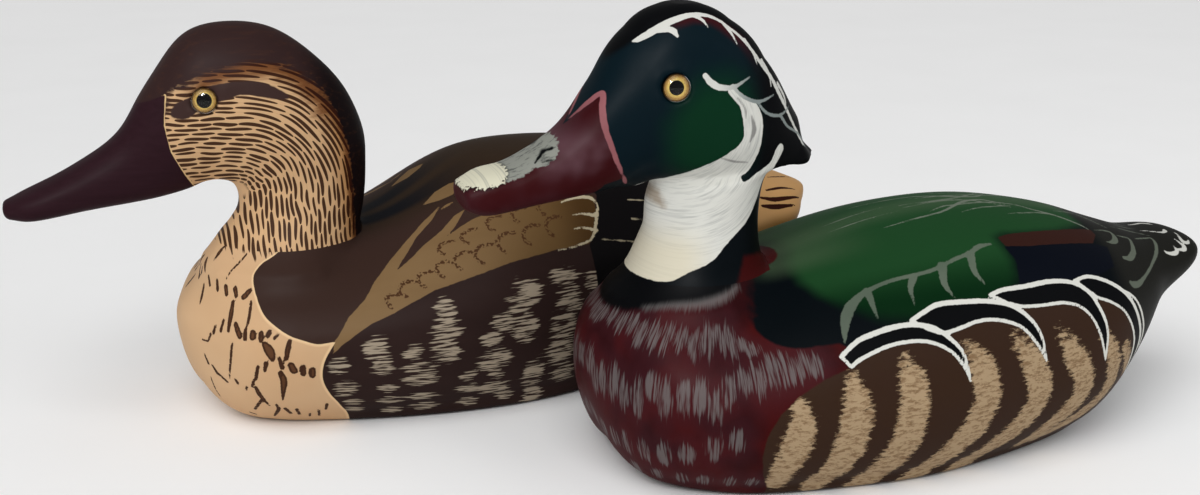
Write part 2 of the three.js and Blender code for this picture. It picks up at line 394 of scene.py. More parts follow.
# Hen's head: carved wood with a dark cap and bill, sand-coloured face with rows of fine dashes
# that run back from the bill, bend round the cheek and fall down the neck. Its marks lie on a
# chart of how far back and how high they are, in millimetres, the same on both sides.
HEN_HEAD_GRAIN = 0.64
HEAD_HALF_WIDTH = 24.0
CROWN_RISE = 25.0
FAR = 9.0
VARNISH_SHINE = 0.03
VARNISH_BUMP = 0.35
VARNISH_CLOUDS = 0.14
VARNISH_GRAIN = 0.08
BRUSH_RELIEF = 0.05
BRUSH_PRESSURE = 1.8
BRISTLE_CONTRAST = 3.6


def head_chart(piece, bird):
    x, y, z = in_head(vertices(piece), bird).T
    rise = np.clip((z - bird["eye_z"]) / CROWN_RISE, 0, 1)
    rise = rise * rise * (3 - 2 * rise)
    return np.stack((x, z + rise * (HEAD_HALF_WIDTH - np.abs(y))), axis=1)


def eased(points, steps=5, closed=False):
    """A smooth curve through a few points; further columns, such as widths, go along."""
    points = np.array(points, dtype=float)
    if len(points) < 3:
        return points
    if closed:
        padded = np.vstack((points[-1:], points, points[:2]))
    else:
        padded = np.vstack((2 * points[0] - points[1], points, 2 * points[-1] - points[-2]))
    out = []
    for a, b, c, d in zip(padded, padded[1:], padded[2:], padded[3:]):
        for t in np.arange(steps) / steps:
            out.append(0.5 * (2 * b + (c - a) * t + (2 * a - 5 * b + 4 * c - d) * t * t
                              + (3 * b - a - 3 * c + d) * t ** 3))
    if not closed:
        out.append(points[-1])
    return np.array(out)


def to_stroke(chart, line):
    """Distance to a brush stroke, negative inside; each point ends in its half width."""
    line = np.array(line, dtype=float)
    path = line[:, :-1]
    near = ((chart > path.min(0) - FAR) & (chart < path.max(0) + FAR)).all(axis=1)
    near = np.flatnonzero(near)
    spot = chart[near]
    best = np.full(len(near), FAR)
    for a, b, wide, wider in zip(path, path[1:], line[:, -1], line[1:, -1]):
        run = b - a
        t = np.clip((spot - a) @ run / max(run @ run, 1e-9), 0, 1)
        gap = spot - a - t[:, None] * run
        best = np.minimum(best, np.linalg.norm(gap, axis=1) - wide - t * (wider - wide))
    out = np.full(len(chart), FAR)
    out[near] = best
    return out


def to_patch(chart, outline):
    """Distance to the edge of a painted area, negative inside."""
    outline = np.array(outline, dtype=float)
    within = np.zeros(len(chart), dtype=bool)
    best = np.full(len(chart), 1e9)
    x, y = chart.T
    for a, b in zip(outline, np.roll(outline, -1, axis=0)):
        run = b - a
        t = np.clip(((chart - a) @ run) / max(run @ run, 1e-9), 0, 1)
        gap = chart - a - t[:, None] * run
        best = np.minimum(best, (gap ** 2).sum(axis=1))
        crossing = (a[1] > y) != (b[1] > y)
        slope = (b[0] - a[0]) / (b[1] - a[1] if b[1] != a[1] else 1e-9)
        within ^= crossing & (x < a[0] + (y - a[1]) * slope)
    return np.where(within, -1, 1) * np.sqrt(best)


def strokes(chart, lines, half_width=0.8):
    """Distance to the nearest of many strokes; a point may end in its own half width."""
    best = np.full(len(chart), FAR)
    for line in lines:
        full = [point if len(point) > chart.shape[1] else (*point, half_width) for point in line]
        best = np.minimum(best, to_stroke(chart, eased(full)))
    return best


def keep(piece, name, values):
    layer = piece.data.attributes.new(name, "FLOAT", "POINT")
    layer.data.foreach_set("value", np.ascontiguousarray(values, dtype=np.float32))


def pigment(red, green, blue):
    channels = []
    for level in (red, green, blue):
        level /= 255
        channels.append(level / 12.92 if level <= 0.04045 else ((level + 0.055) / 1.055) ** 2.4)
    return (*channels, 1.0)


class Paint:
    """A coat of paint: a material that is laid on layer by layer."""

    def __init__(self, name, shine=VARNISH_SHINE):
        self.material = bpy.data.materials.new(name)
        self.material.use_nodes = True
        self.tree = self.material.node_tree
        self.shader = self.tree.nodes["Principled BSDF"]
        self.shader.inputs["Specular IOR Level"].default_value = shine

    def put(self, socket, value):
        if isinstance(value, bpy.types.NodeSocket):
            self.tree.links.new(value, socket)
        else:
            socket.default_value = value

    def maths(self, operation, first, second=0.0, third=0.0):
        node = self.tree.nodes.new("ShaderNodeMath")
        node.operation = operation
        for socket, value in zip(node.inputs, (first, second, third)):
            self.put(socket, value)
        return node.outputs[0]

    def times(self, first, second):
        return self.maths("MULTIPLY", first, second)

    def scaled(self, value, scale, shift):
        return self.maths("MULTIPLY_ADD", value, scale, shift)

    def mark(self, name):
        node = self.tree.nodes.new("ShaderNodeAttribute")
        node.attribute_name = name
        return node.outputs["Fac"]

    def place(self, stretch=(1, 1, 1)):
        """Object coordinates in millimetres, stretched."""
        where = self.tree.nodes.new("ShaderNodeTexCoord")
        mapping = self.tree.nodes.new("ShaderNodeMapping")
        mapping.inputs["Scale"].default_value = [value / MM for value in stretch]
        self.tree.links.new(where.outputs["Object"], mapping.inputs["Vector"])
        return mapping.outputs[0]

    def pair(self, first, second):
        node = self.tree.nodes.new("ShaderNodeCombineXYZ")
        self.put(node.inputs[0], first)
        self.put(node.inputs[1], second)
        return node.outputs[0]

    def cloud(self, vector, scale=1.0, detail=2.0, roughness=0.5):
        node = self.tree.nodes.new("ShaderNodeTexNoise")
        self.put(node.inputs["Vector"], vector)
        node.inputs["Scale"].default_value = scale
        node.inputs["Detail"].default_value = detail
        node.inputs["Roughness"].default_value = roughness
        return node.outputs["Fac"]

    def ramp(self, value, low, high):
        node = self.tree.nodes.new("ShaderNodeMapRange")
        node.interpolation_type = "SMOOTHSTEP"
        self.put(node.inputs["Value"], value)
        for name, level in (("From Min", low), ("From Max", high), ("To Min", 0.0), ("To Max", 1.0)):
            node.inputs[name].default_value = level
        return node.outputs[0]

    def fade(self, name, low, high):
        """Share of paint that grows along a mark, from none at the first level to all."""
        return self.ramp(self.mark(name), low, high)

    def inside(self, name, soft=0.35, wander=0.5, grain=0.35):
        """Share of paint within a mark whose edge wanders as a brush does."""
        ragged = self.maths("SUBTRACT", self.cloud(self.place(), grain), 0.5)
        return self.ramp(self.scaled(ragged, wander * 2, self.mark(name)), soft / 2, -soft / 2)

    def dry(self, share, bristles, load=0.4, gain=0.4):
        """Dry brush: paint that catches only along the bristles; load is how full the brush is."""
        offered = self.scaled(share, BRUSH_PRESSURE, load - BRISTLE_CONTRAST)
        caught = self.scaled(bristles, BRISTLE_CONTRAST, offered)
        return self.ramp(caught, -gain / 2, gain / 2)

    def over(self, below, above, share, strength=1.0):
        node = self.tree.nodes.new("ShaderNodeMix")
        node.data_type = "RGBA"
        self.put(node.inputs[0], share if strength == 1.0 else self.times(share, strength))
        self.put(node.inputs[6], below)
        self.put(node.inputs[7], above)
        return node.outputs[2]

    def done(self, piece, colour, gloss, brush):
        """Satin finish with faint brush marks, then the coat goes on the piece."""
        fine = self.cloud(self.place(), 0.9, 3.0, 0.6)
        broad = self.cloud(self.place(), 0.06)
        self.put(self.shader.inputs["Base Color"], colour)
        rough = self.scaled(broad, VARNISH_CLOUDS, gloss - VARNISH_CLOUDS / 2)
        self.put(self.shader.inputs["Roughness"], self.scaled(fine, VARNISH_GRAIN, rough))
        bump = self.tree.nodes.new("ShaderNodeBump")
        bump.inputs["Strength"].default_value = VARNISH_BUMP
        bump.inputs["Distance"].default_value = BRUSH_RELIEF * MM
        self.put(bump.inputs["Height"], self.scaled(brush, 1.0, fine))
        self.tree.links.new(bump.outputs[0], self.shader.inputs["Normal"])
        self.goes_on(piece)

    def goes_on(self, piece):
        piece.data.materials.clear()
        piece.data.materials.append(self.material)


THROAT = (0.0, 24.0)
BEND_RADIUS = 22.0
DASH_ROW = 2.25
DASH_LENGTH = 10.5
DASH_DRIFT = 1.6
DASH_HALF_WIDTH = 0.4
DASH_VARIES = 0.2
DASH_STRAYS = 0.3
DASH_TAPER = 0.36
DASH_EDGE = 0.04


def dash_flow(piece, bird):
    """Marks how far along a row of dashes a point lies, which row it is on, and the throat."""
    x, _, z = in_head(vertices(piece), bird).T
    x = x - THROAT[0]
    z = z - THROAT[1]
    corner = np.hypot(x, z)
    before = (x < 0) & (z >= 0)
    bend = np.arctan2(np.maximum(x, 0), np.maximum(z, 1e-6)) * BEND_RADIUS
    run = np.where(before, x, np.where(z < 0, math.pi / 2 * BEND_RADIUS - z, bend))
    keep(piece, "dash_run", run)
    keep(piece, "dash_row", np.where(before, z, np.where(z < 0, x, corner)))
    keep(piece, "from_throat", corner)


def dashes(coat, strength):
    """Rows of short tapered dashes, each with its own length and place."""

    def chance(dimensions, socket, numbers):
        node = coat.tree.nodes.new("ShaderNodeTexWhiteNoise")
        node.noise_dimensions = dimensions
        coat.put(node.inputs[socket], numbers)
        return node.outputs["Value"]

    run, row = coat.mark("dash_run"), coat.mark("dash_row")
    drift = coat.cloud(coat.pair(run, row), 0.06, 1.0)
    lane = coat.scaled(drift, DASH_DRIFT, coat.maths("DIVIDE", row, DASH_ROW))
    lane_number = coat.maths("FLOOR", lane)
    across = coat.maths("SUBTRACT", coat.maths("SUBTRACT", lane, lane_number), 0.5)
    start = chance("1D", "W", lane_number)
    step = coat.maths("ADD", coat.maths("DIVIDE", run, DASH_LENGTH), start)
    dash_number = coat.maths("FLOOR", step)
    own = chance("2D", "Vector", coat.pair(lane_number, dash_number))
    along = coat.maths("SUBTRACT", step, dash_number)
    along = coat.maths("DIVIDE", along, coat.scaled(own, DASH_VARIES, 1 - DASH_VARIES))
    hump = coat.times(along, coat.maths("SUBTRACT", 1.0, along))
    half = coat.maths("POWER", coat.maths("MAXIMUM", hump, 0.0), DASH_TAPER)
    half = coat.times(half, coat.scaled(own, DASH_VARIES, DASH_HALF_WIDTH))
    stray = coat.scaled(own, DASH_STRAYS, -DASH_STRAYS / 2)
    off = coat.maths("ABSOLUTE", coat.maths("ADD", across, stray))
    dash = coat.ramp(coat.maths("SUBTRACT", half, off), -DASH_EDGE, DASH_EDGE)
    return coat.times(dash, coat.times(coat.fade("from_throat", 2.5, 5.0), strength))


HEN_SAND = pigment(208, 171, 130)
HEN_SAND_WARM = pigment(176, 126, 76)
HEN_CAP = pigment(50, 34, 33)
HEN_CAP_WARM = pigment(106, 64, 35)
HEN_NAPE = pigment(22, 14, 15)
HEN_BILL = pigment(36, 18, 23)
HEN_BILL_SHEEN = pigment(58, 34, 42)
HEN_DASH = pigment(46, 19, 11)
HEN_STRIPE = pigment(60, 43, 40)
BILL_RIM = pigment(214, 180, 130)
BILL_RIM_WIDTH = 0.55
HEN_BILL_EDGE = [(-40, 65), (-35, 67), (-28.5, 70), (-30, 57), (-28, 45), (-23, 34), (-19, 26)]
HEN_BILL_AREA = HEN_BILL_EDGE + [(-60, -10), (-150, -10), (-150, 64)]
HEN_CAP_AREA = [
    (-28, 66), (-27, 70), (-22, 74), (-13, 78), (-3, 82), (6, 84.5), (17, 84.5), (28, 79), (37, 69),
    (44, 57), (47.5, 45), (49, 31), (49.5, 15), (50, 1), (51, -12), (90, -12), (90, 150),
    (-90, 150), (-90, 30), (-45, 30)]
EYE_BLOB = [(-26.5, 61), (-26, 64.5), (-23, 67), (-17, 69), (-14, 66), (-17, 62), (-22, 59.5)]
EYE_BAND = [
    (-12, 73), (-3, 75), (9, 75), (17, 72), (23, 66.5), (15, 67), (4, 69.5), (-6, 67), (-12, 66)]

hen_head = carved(hen_blank, "hen_head_carved", HEN, HEN_HEAD_GRAIN, True)
takes_place_of(hen_head, "hen_head")
chart = head_chart(hen_head, HEN)
dash_flow(hen_head, HEN)
keep(hen_head, "bill", to_patch(chart, HEN_BILL_AREA))
keep(hen_head, "cap", to_patch(chart, HEN_CAP_AREA))
keep(hen_head, "bill_rim", strokes(chart, [HEN_BILL_EDGE[2:]], BILL_RIM_WIDTH))
keep(hen_head, "stripe", np.minimum(to_patch(chart, eased(EYE_BLOB, 4, True)),
                                    to_patch(chart, eased(EYE_BAND, 4, True))))
keep(hen_head, "back", chart[:, 0])

coat = Paint("hen_head_paint")
bristles = coat.cloud(coat.place((0.05, 0.4, 0.5)), 1.0, 3.0, 0.6)
stray = coat.maths("SUBTRACT", bristles, 0.5)
crisp_behind = coat.scaled(coat.fade("back", 36.0, 46.0), 2.0, 1.0)
cap_mark = coat.times(coat.mark("cap"), crisp_behind)
warmth = coat.times(coat.fade("cap", 11.0, 0.0), coat.fade("back", -24.0, -4.0))
sand = coat.over(HEN_SAND, HEN_SAND_WARM, warmth)
sand = coat.over(sand, HEN_SAND_WARM, coat.cloud(coat.place(), 0.05), 0.25)
fringe = coat.ramp(coat.scaled(stray, 9.0, cap_mark), 11.0, 3.0)
fringe = coat.times(fringe, coat.fade("back", -26.0, -10.0))
colour = coat.over(sand, HEN_CAP_WARM, fringe, 0.95)
colour = coat.over(colour, HEN_DASH, dashes(coat, 0.95))
cap = coat.over(HEN_CAP, HEN_NAPE, coat.fade("back", 26.0, 43.0))
cap = coat.over(cap, HEN_CAP_WARM, coat.ramp(bristles, 0.5, 0.75), 0.12)
colour = coat.over(colour, cap, coat.ramp(coat.scaled(stray, 12.0, cap_mark), 2.4, -2.0))
colour = coat.over(colour, HEN_STRIPE, coat.inside("stripe", 0.8, 0.5))
colour = coat.over(colour, BILL_RIM, coat.inside("bill_rim", 0.3, 0.3))
bill = coat.over(HEN_BILL, HEN_BILL_SHEEN, bristles, 0.5)
colour = coat.over(colour, bill, coat.inside("bill", 0.35, 0.15))
coat.done(hen_head, colour, 0.44, bristles)

# Hen's body: carved wood, sand-coloured breast under arcs of brown dabs, dark shoulder, tan
# feathers with scalloped edges, and a dark side pocket dry-brushed in short level strokes. Its
# chart gives how far round the breast a mark lies and how high up the side.
HEN_BODY_GRAIN = 1.25
BREAST_CENTRE = 60.0
BREAST_RADIUS = 62.0
CHART_HEIGHT = 43.0
CHART_RADIUS = 65.0
UNDERSIDE_WOOD = pigment(150, 116, 78)
UNDERSIDE_GRAIN = pigment(112, 80, 50)


def body_chart(piece, bird):
    x, y, z = in_bird(vertices(piece), bird).T
    ahead = x < BREAST_CENTRE
    y = np.abs(y)
    round_front = BREAST_RADIUS * np.arctan2(y, np.maximum(BREAST_CENTRE - x, 1e-6))
    along = np.where(ahead, round_front, BREAST_RADIUS * math.pi / 2 + x - BREAST_CENTRE)
    reach = np.where(ahead, np.hypot(BREAST_CENTRE - x, y), y)
    return np.stack((along, CHART_RADIUS * np.arctan2(z - CHART_HEIGHT, reach)), axis=1)


def dabs_of(chart, spots):
    """How far out of the nearest dab of a dry brush a point lies: 0 at its middle, 1 at its rim."""
    best = np.full(len(chart), 3.0)
    for along, up, half_long, half_high in spots:
        near = np.flatnonzero((np.abs(chart[:, 0] - along) < half_long * 2.5)
                              & (np.abs(chart[:, 1] - up) < half_high * 2.5))
        spot = (chart[near] - (along, up)) / (half_long, half_high)
        best[near] = np.minimum(best[near], np.hypot(spot[:, 0], spot[:, 1]))
    return best


def streaks(coat, along, across, seed):
    """Bristle tracks on a chart: long one way and narrow the other."""
    vector = coat.pair(coat.times(coat.mark("round"), along),
                       coat.scaled(coat.mark("rise"), across, seed))
    return coat.cloud(vector, 1.0, 2.0, 0.6)


def underside(coat, colour):
    """The flat underside is left as bare sealed wood, its grain running from breast to tail."""
    grain = coat.cloud(coat.place((0.015, 0.35, 0.35)), 1.0, 3.0, 0.6)
    wood = coat.over(UNDERSIDE_WOOD, UNDERSIDE_GRAIN, coat.ramp(grain, 0.4, 0.65))
    return coat.over(colour, wood, coat.fade("height", 0.12, 0.02))


HEN_BREAST = pigment(207, 173, 136)
HEN_LOBE_RIM = pigment(226, 194, 150)
HEN_DAB_MIDDLE = pigment(104, 70, 46)
HEN_SHOULDER = pigment(56, 39, 34)
HEN_BACK = pigment(46, 34, 24)
HEN_BLUE_BLACK = pigment(13, 15, 21)
HEN_POCKET = pigment(50, 35, 32)
HEN_BRUSHED = pigment(168, 154, 134)
HEN_TAN = pigment(130, 104, 72)
HEN_TAN_DARK = pigment(98, 74, 44)
HEN_TAN_SHADE = pigment(60, 38, 14)
HEN_SCALE_BROWN = pigment(72, 46, 28)
HEN_RUMP = pigment(14, 12, 13)
HEN_TAIL = pigment(186, 144, 94)
HEN_TAIL_LOW = pigment(120, 88, 44)
HEN_WHITE = pigment(180, 168, 140)
HEN_TAIL_START = 268.0
HEN_LOBE_EDGE = [
    (91.5, 3), (84, 2.5), (78, 4.5), (72, 7), (66, 11), (60, 16), (55, 23), (51, 31), (50, 38),
    (53, 44.5), (60, 49.5), (68, 56), (77, 63), (84, 72)]
HEN_POCKET_FRONT = [
    (108, -75), (101, -45), (95, -34), (89, -25), (85.5, -15.5), (86.5, -6), (91.5, 3)]
HEN_POCKET_AREA = [
    (110, -80), (90, -45), (82, -34), (80, -24), (80, -16), (84, -6), (94, 1), (100, 5), (107, 9),
    (114, 11), (125, 15), (137, 19), (149, 21), (161, 23), (173, 25), (185, 26), (197, 27),
    (213, 27), (260, 26), (330, 10), (330, -80)]
HEN_TAN_AREA = [
    (90, -3), (91, 3), (99, 13), (108, 20), (115, 28), (122, 35), (130, 43), (139, 52), (147, 60),
    (158, 68), (151, 59), (141, 50), (134, 41), (125, 31), (133, 36), (142, 43), (152, 49),
    (159, 55), (165, 57), (157, 48), (152, 44), (159, 47), (165, 49), (176, 50), (190, 49),
    (204, 49), (224, 48), (222, 40), (219, 32), (213, 27), (197, 27), (185, 26), (173, 25),
    (161, 23), (149, 21), (137, 19), (125, 15), (114, 11), (107, 9), (100, 5), (94, 1)]
HEN_BACK_WEDGE = [(152, 76), (160, 82), (167, 82), (170, 79), (165, 71), (159, 72)]
HEN_BACK_TICK = [(157, 64, 0.5), (160, 65, 0.9), (163, 65, 0.3)]
HEN_RUMP_AREA = [
    (222, 60), (226, 48), (222, 40), (219, 32), (213, 27), (219, -80), (420, -80), (420, 60)]
HEN_FEATHER_EDGES = [
    [(206, 46.5, 0.2), (214, 48, 0.8), (222, 47, 0.9), (224, 43, 0.5), (222, 39, 0.8),
    (219, 34, 0.7), (215, 29, 0.5), (206, 27, 0.4), (196, 26.5, 0.2)], [(209, 40, 0.2),
    (214, 40, 0.4), (221, 38.5, 0.9)], [(207, 34, 0.2), (212, 34, 0.4), (219, 32, 0.8)]]
HEN_RUMP_LINES = [[(242, 44), (252, 43)], [(240, 35), (247, 34)], [(219, 28.5), (238, 25)]]
RUMP_LINE_WIDTH = 0.35
HEN_TAIL_LINES = [
    [(339, 58.5, 0.2), (356, 67, 0.8), (372, 77, 0.3)], [(334, 46, 0.6), (346, 48.2, 1.2),
    (358, 48, 0.5)], [(328, 40.6, 0.8), (340, 38.8, 1.7), (357, 39.8, 0.7)], [(327, 35.2, 0.8),
    (337, 33.8, 1.8), (351, 33.4, 0.6)]]
DAB_FULLNESS = 0.25
HEN_DABS = [
    [(17, 50, 0.5), (15, 46, 1.3), (14, 41, 0.5)], [(4, 40, 0.7), (6, 37, 1.4), (9, 33, 0.6)],
    [(2, 35, 0.5), (3, 31, 0.8)], [(3, 32, 0.6), (0, 27, 0.6)], [(14, 32, 0.6), (18, 27, 0.8)],
    [(24, 31, 0.9), (26, 26, 0.9)], [(32, 29, 1.2), (34, 25, 1.1)], [(39, 29, 1.3), (41, 25, 1.0)],
    [(49, 29, 1.1), (46, 25, 1.5)], [(39, 49, 0.5), (35, 41, 0.6), (31, 32, 0.2)], [(11, 26, 0.7),
    (13, 21, 0.9), (15, 16, 0.4)], [(40, 22, 0.8), (41, 15, 1.2), (41, 7, 0.7)], [(51, 23, 0.5),
    (52, 15, 0.6), (51, 8, 0.2)], [(27, -1, 0.5), (23, -1, 0.4)], [(29, 3, 0.6), (28, 0, 0.5)],
    [(32, 8, 0.6), (31, 4, 0.8)], [(37, 12, 0.6), (36, 6, 0.7)], [(45, 11, 1.1), (48, 6, 1.4)],
    [(51, 9, 0.7), (51, 5, 1.0)], [(55, 8, 1.3), (55, 6, 1.4)], [(59, 8, 1.1), (59, 5, 1.0)],
    [(63, 9, 0.9), (62, 7, 0.9)], [(67, 8, 0.4), (65, 6, 0.6)], [(61, 3, 1.3), (63, 0, 2.1),
    (64, -4, 1.0)], [(61, -6, 0.9), (60, -10, 0.6)], [(57, -8, 0.6), (55, -15, 0.6)],
    [(54, -16, 0.5), (52, -20, 0.4)], [(54, -20, 0.7), (55, -25, 1.1), (58, -33, 0.4)],
    [(55, -29, 0.6), (48, -38, 0.6)], [(42, -43, 0.5), (45, -45, 0.5)], [(72, 5, 0.7), (71, 1, 1.0),
    (70, -4, 0.7)], [(67, -3, 0.5), (68, -8, 1.0)], [(72, -7, 1.3), (73, -10, 1.5)], [(77, -8, 1.0),
    (77, -12, 1.1)], [(81, -10, 1.2), (81, -13, 1.3)], [(67, -11, 1.1), (68, -16, 1.4),
    (66, -28, 0.3)], [(43, -18, 0.5), (44, -20, 0.8)], [(49, -21, 0.5), (48, -23, 0.4)],
    [(23, -9, 0.4), (25, -14, 0.7)], [(28, -14, 0.5), (31, -18, 0.8)], [(32, -18, 0.5),
    (37, -21, 0.6)], [(44, 2, 0.4), (42, -8, 0.5), (39, -19, 0.2)], [(24, -22, 0.2), (24, -29, 0.5),
    (25, -37, 0.2)], [(62, -32, 0.5), (62, -37, 0.9), (57, -46, 0.6)], [(66, -36, 0.9),
    (68, -42, 0.9)], [(72, -37, 0.8), (73, -44, 0.8)], [(79, -43, 0.6), (79, -47, 0.6)],
    [(84, -39, 0.6), (85, -46, 0.6)], [(88, -33, 0.6), (88, -38, 0.6)]]
BRUSH_SPREAD = (1.4, 1.85)
HEN_BRUSHINGS = [
    (92, -9, 5, 4), (96, -22, 6, 4), (100, -31, 5, 2), (102, -38, 5, 2), (108, -2, 6, 5),
    (111, -10, 5, 4), (114, -22, 5, 2), (116, -30, 6, 2), (118, -38, 5, 2), (124, -5, 5, 3),
    (127, -12, 8, 2), (128, -18, 8, 3), (130, -28, 8, 2), (132, -35, 7, 2), (139, 10, 5, 5),
    (138, 2, 7, 5), (138, -6, 7, 4), (149, -18, 5, 2), (150, -25, 6, 2), (152, -33, 6, 2),
    (159, -3, 6, 3), (161, -12, 8, 4), (163, -19, 5, 2), (162, -26, 8, 3), (169, -31, 5, 2),
    (165, 3, 7, 3), (173, 9, 7, 4), (177, 13, 8, 4), (175, -1, 7, 5), (181, -21, 6, 6),
    (183, -33, 6, 3), (197, 16, 8, 3), (199, 7, 8, 4), (195, -2, 8, 5), (194, -13, 8, 6),
    (197, -25, 7, 4), (214, 12, 8, 4), (213, 2, 8, 5), (212, -9, 8, 5), (214, -22, 7, 5)]
SCALLOP_TURNS = (60, 95, 130, 165, 200, 230)
SCALLOP_FLATNESS = 0.75
SCALLOP_WIDTH = 0.85
SCALLOPS = [
    (120, 17, 4), (128, 21, 5), (137, 24, 5), (146, 27, 5), (155, 29, 5.5), (151, 37, 5),
    (165, 30, 6), (162, 40, 5), (176, 33, 6), (174, 43, 5), (188, 34, 6), (186, 44, 5),
    (200, 36, 6), (199, 45, 5)]

hen_body = carved(hen_blank, "hen_body_carved", HEN, HEN_BODY_GRAIN, False)
takes_place_of(hen_body, "hen_body")
bpy.data.objects.remove(hen_blank)
chart = body_chart(hen_body, HEN)
local = in_bird(vertices(hen_body), HEN)
dash_flow(hen_body, HEN)
keep(hen_body, "round", chart[:, 0])
keep(hen_body, "rise", chart[:, 1])
keep(hen_body, "height", local[:, 2])
keep(hen_body, "tail", HEN_TAIL_START - local[:, 0])
breast_edge = np.vstack((eased(HEN_POCKET_FRONT), eased(HEN_LOBE_EDGE), [(-10, 95), (-10, -75)]))
keep(hen_body, "breast", to_patch(chart, breast_edge))
keep(hen_body, "pocket", to_patch(chart, HEN_POCKET_AREA))
keep(hen_body, "rump", to_patch(chart, HEN_RUMP_AREA))
tan_mark = np.minimum(to_patch(chart, HEN_TAN_AREA), to_patch(chart, HEN_BACK_WEDGE))
keep(hen_body, "tan", np.minimum(tan_mark, strokes(chart, [HEN_BACK_TICK])))
keep(hen_body, "feather_edges", strokes(chart, HEN_FEATHER_EDGES))
keep(hen_body, "rump_lines", strokes(chart, HEN_RUMP_LINES, RUMP_LINE_WIDTH))
keep(hen_body, "tail_lines", strokes(chart, HEN_TAIL_LINES))
keep(hen_body, "dabs", strokes(chart, HEN_DABS) - DAB_FULLNESS)
keep(hen_body, "brushed", dabs_of(chart, [(along, up, long * BRUSH_SPREAD[0], high * BRUSH_SPREAD[1])
                                          for along, up, long, high in HEN_BRUSHINGS]))
scales = []
for along, up, size in SCALLOPS:
    turns = [math.radians(degrees) for degrees in SCALLOP_TURNS]
    scales.append([(along + size * math.cos(turn), up + size * SCALLOP_FLATNESS * math.sin(turn))
                   for turn in turns])
keep(hen_body, "scales", strokes(chart, scales, SCALLOP_WIDTH))

coat = Paint("hen_body_paint")
wrap = coat.pair(coat.mark("round"), coat.mark("rise"))
level = streaks(coat, 0.08, 1.15, 3.0)
soft = coat.cloud(coat.place((0.3, 1, 1)), 0.08)
colour = coat.over(HEN_SHOULDER, HEN_BACK, coat.fade("rise", 55.0, 85.0))
colour = coat.over(colour, HEN_BACK, soft, 0.25)
ridge = coat.maths("ABSOLUTE", coat.maths("SUBTRACT", coat.mark("rise"), 89.0))
band = coat.times(coat.ramp(ridge, 12.0, 4.0), coat.fade("round", 190.0, 140.0))
colour = coat.over(colour, HEN_BLUE_BLACK, band, 0.95)
pocket = coat.over(HEN_POCKET, HEN_RUMP, soft, 0.4)
colour = coat.over(colour, pocket, coat.inside("pocket", 0.6, 0.3))
share = coat.dry(coat.fade("brushed", 1.5, 0.35), level, 0.05, 0.38)
colour = coat.over(colour, HEN_BRUSHED, share, 0.88)
tan = coat.over(HEN_TAN, HEN_TAN_DARK, coat.fade("round", 135.0, 205.0))
tan = coat.over(tan, HEN_TAN_DARK, soft, 0.5)
tan = coat.over(tan, HEN_TAN_SHADE, coat.fade("round", 194.0, 218.0), 0.75)
ticks = coat.ramp(coat.cloud(wrap, 0.9, 0.0), 0.4, 0.52)
tan = coat.over(tan, HEN_SCALE_BROWN, coat.times(coat.inside("scales", 0.5, 0.9, 0.7), ticks))
colour = coat.over(colour, tan, coat.inside("tan", 0.35, 0.3))
rump = coat.over(HEN_RUMP, HEN_TAIL_LOW, coat.fade("tail", 4.0, -10.0))
tail_end = coat.times(coat.fade("tail", 0.0, -14.0), coat.fade("height", 58.0, 72.0))
rump = coat.over(rump, HEN_TAIL, tail_end)
colour = coat.over(colour, rump, coat.inside("rump", 0.8, 0.3))
tail_top = coat.times(coat.fade("tail", 2.0, -10.0), coat.fade("height", 58.0, 66.0))
colour = coat.over(colour, HEN_TAIL, tail_top)
colour = coat.over(colour, HEN_DASH, coat.inside("tail_lines", 0.35, 0.3))
colour = coat.over(colour, HEN_WHITE, coat.inside("feather_edges", 0.4, 0.5, 0.8))
colour = coat.over(colour, HEN_WHITE, coat.inside("rump_lines", 0.4, 0.4), 0.7)
breast = coat.over(HEN_BREAST, HEN_SAND_WARM, coat.cloud(coat.place(), 0.035), 0.35)
row_end = coat.cloud(coat.pair(coat.mark("dash_row"), 0.0), 0.45, 1.0)
row_end = coat.ramp(coat.scaled(row_end, 26.0, coat.mark("rise")), 61.5, 64.0)
breast = coat.over(breast, HEN_DASH, coat.times(dashes(coat, 0.93), row_end))
breast = coat.over(breast, HEN_DASH, coat.inside("dabs", 0.4, 0.35, 0.8), 0.96)
breast = coat.over(breast, HEN_DAB_MIDDLE, coat.fade("dabs", -0.75, -1.15), 0.6)
breast = coat.over(breast, HEN_LOBE_RIM, coat.fade("breast", -1.6, -0.6), 0.8)
colour = coat.over(colour, breast, coat.inside("breast", 0.3, 0.15))
nape = coat.times(coat.fade("rise", 66.0, 84.0), coat.fade("round", 128.0, 104.0))
colour = coat.over(colour, HEN_NAPE, nape)
coat.done(hen_body, underside(coat, colour), 0.46, level)

# Drake's head: carved wood with a black crown and crest over a blue-green face, white throat that
# forks behind the cheek, fine white crest lines, and a maroon bill with a grey saddle and an
# ivory nail. The line round the bill is (back, aside, height), as it runs over the top.
DRAKE_HEAD_GRAIN = 0.65
DRAKE_BLACK = pigment(6, 7, 9)
DRAKE_TEAL = pigment(7, 23, 30)
DRAKE_GREEN = pigment(8, 46, 27)
DRAKE_CREST_RED = pigment(58, 16, 20)
DRAKE_NECK_RED = pigment(58, 12, 12)
DRAKE_WHITE = pigment(208, 208, 201)
DRAKE_WHITE_GREY = pigment(146, 148, 146)
DRAKE_WHITE_SAND = pigment(208, 200, 176)
DRAKE_WHITE_SHADOW = pigment(112, 110, 108)
DRAKE_LINE = pigment(206, 206, 200)
DRAKE_LINE_DIM = pigment(128, 136, 134)
BILL_MAROON = pigment(54, 13, 16)
BILL_PURPLE = pigment(66, 36, 42)
BILL_SHEEN = pigment(104, 76, 84)
BILL_PINK = pigment(160, 100, 104)
BILL_GREY = pigment(136, 138, 130)
BILL_GREY_DARK = pigment(90, 92, 88)
BILL_IVORY = pigment(208, 205, 183)
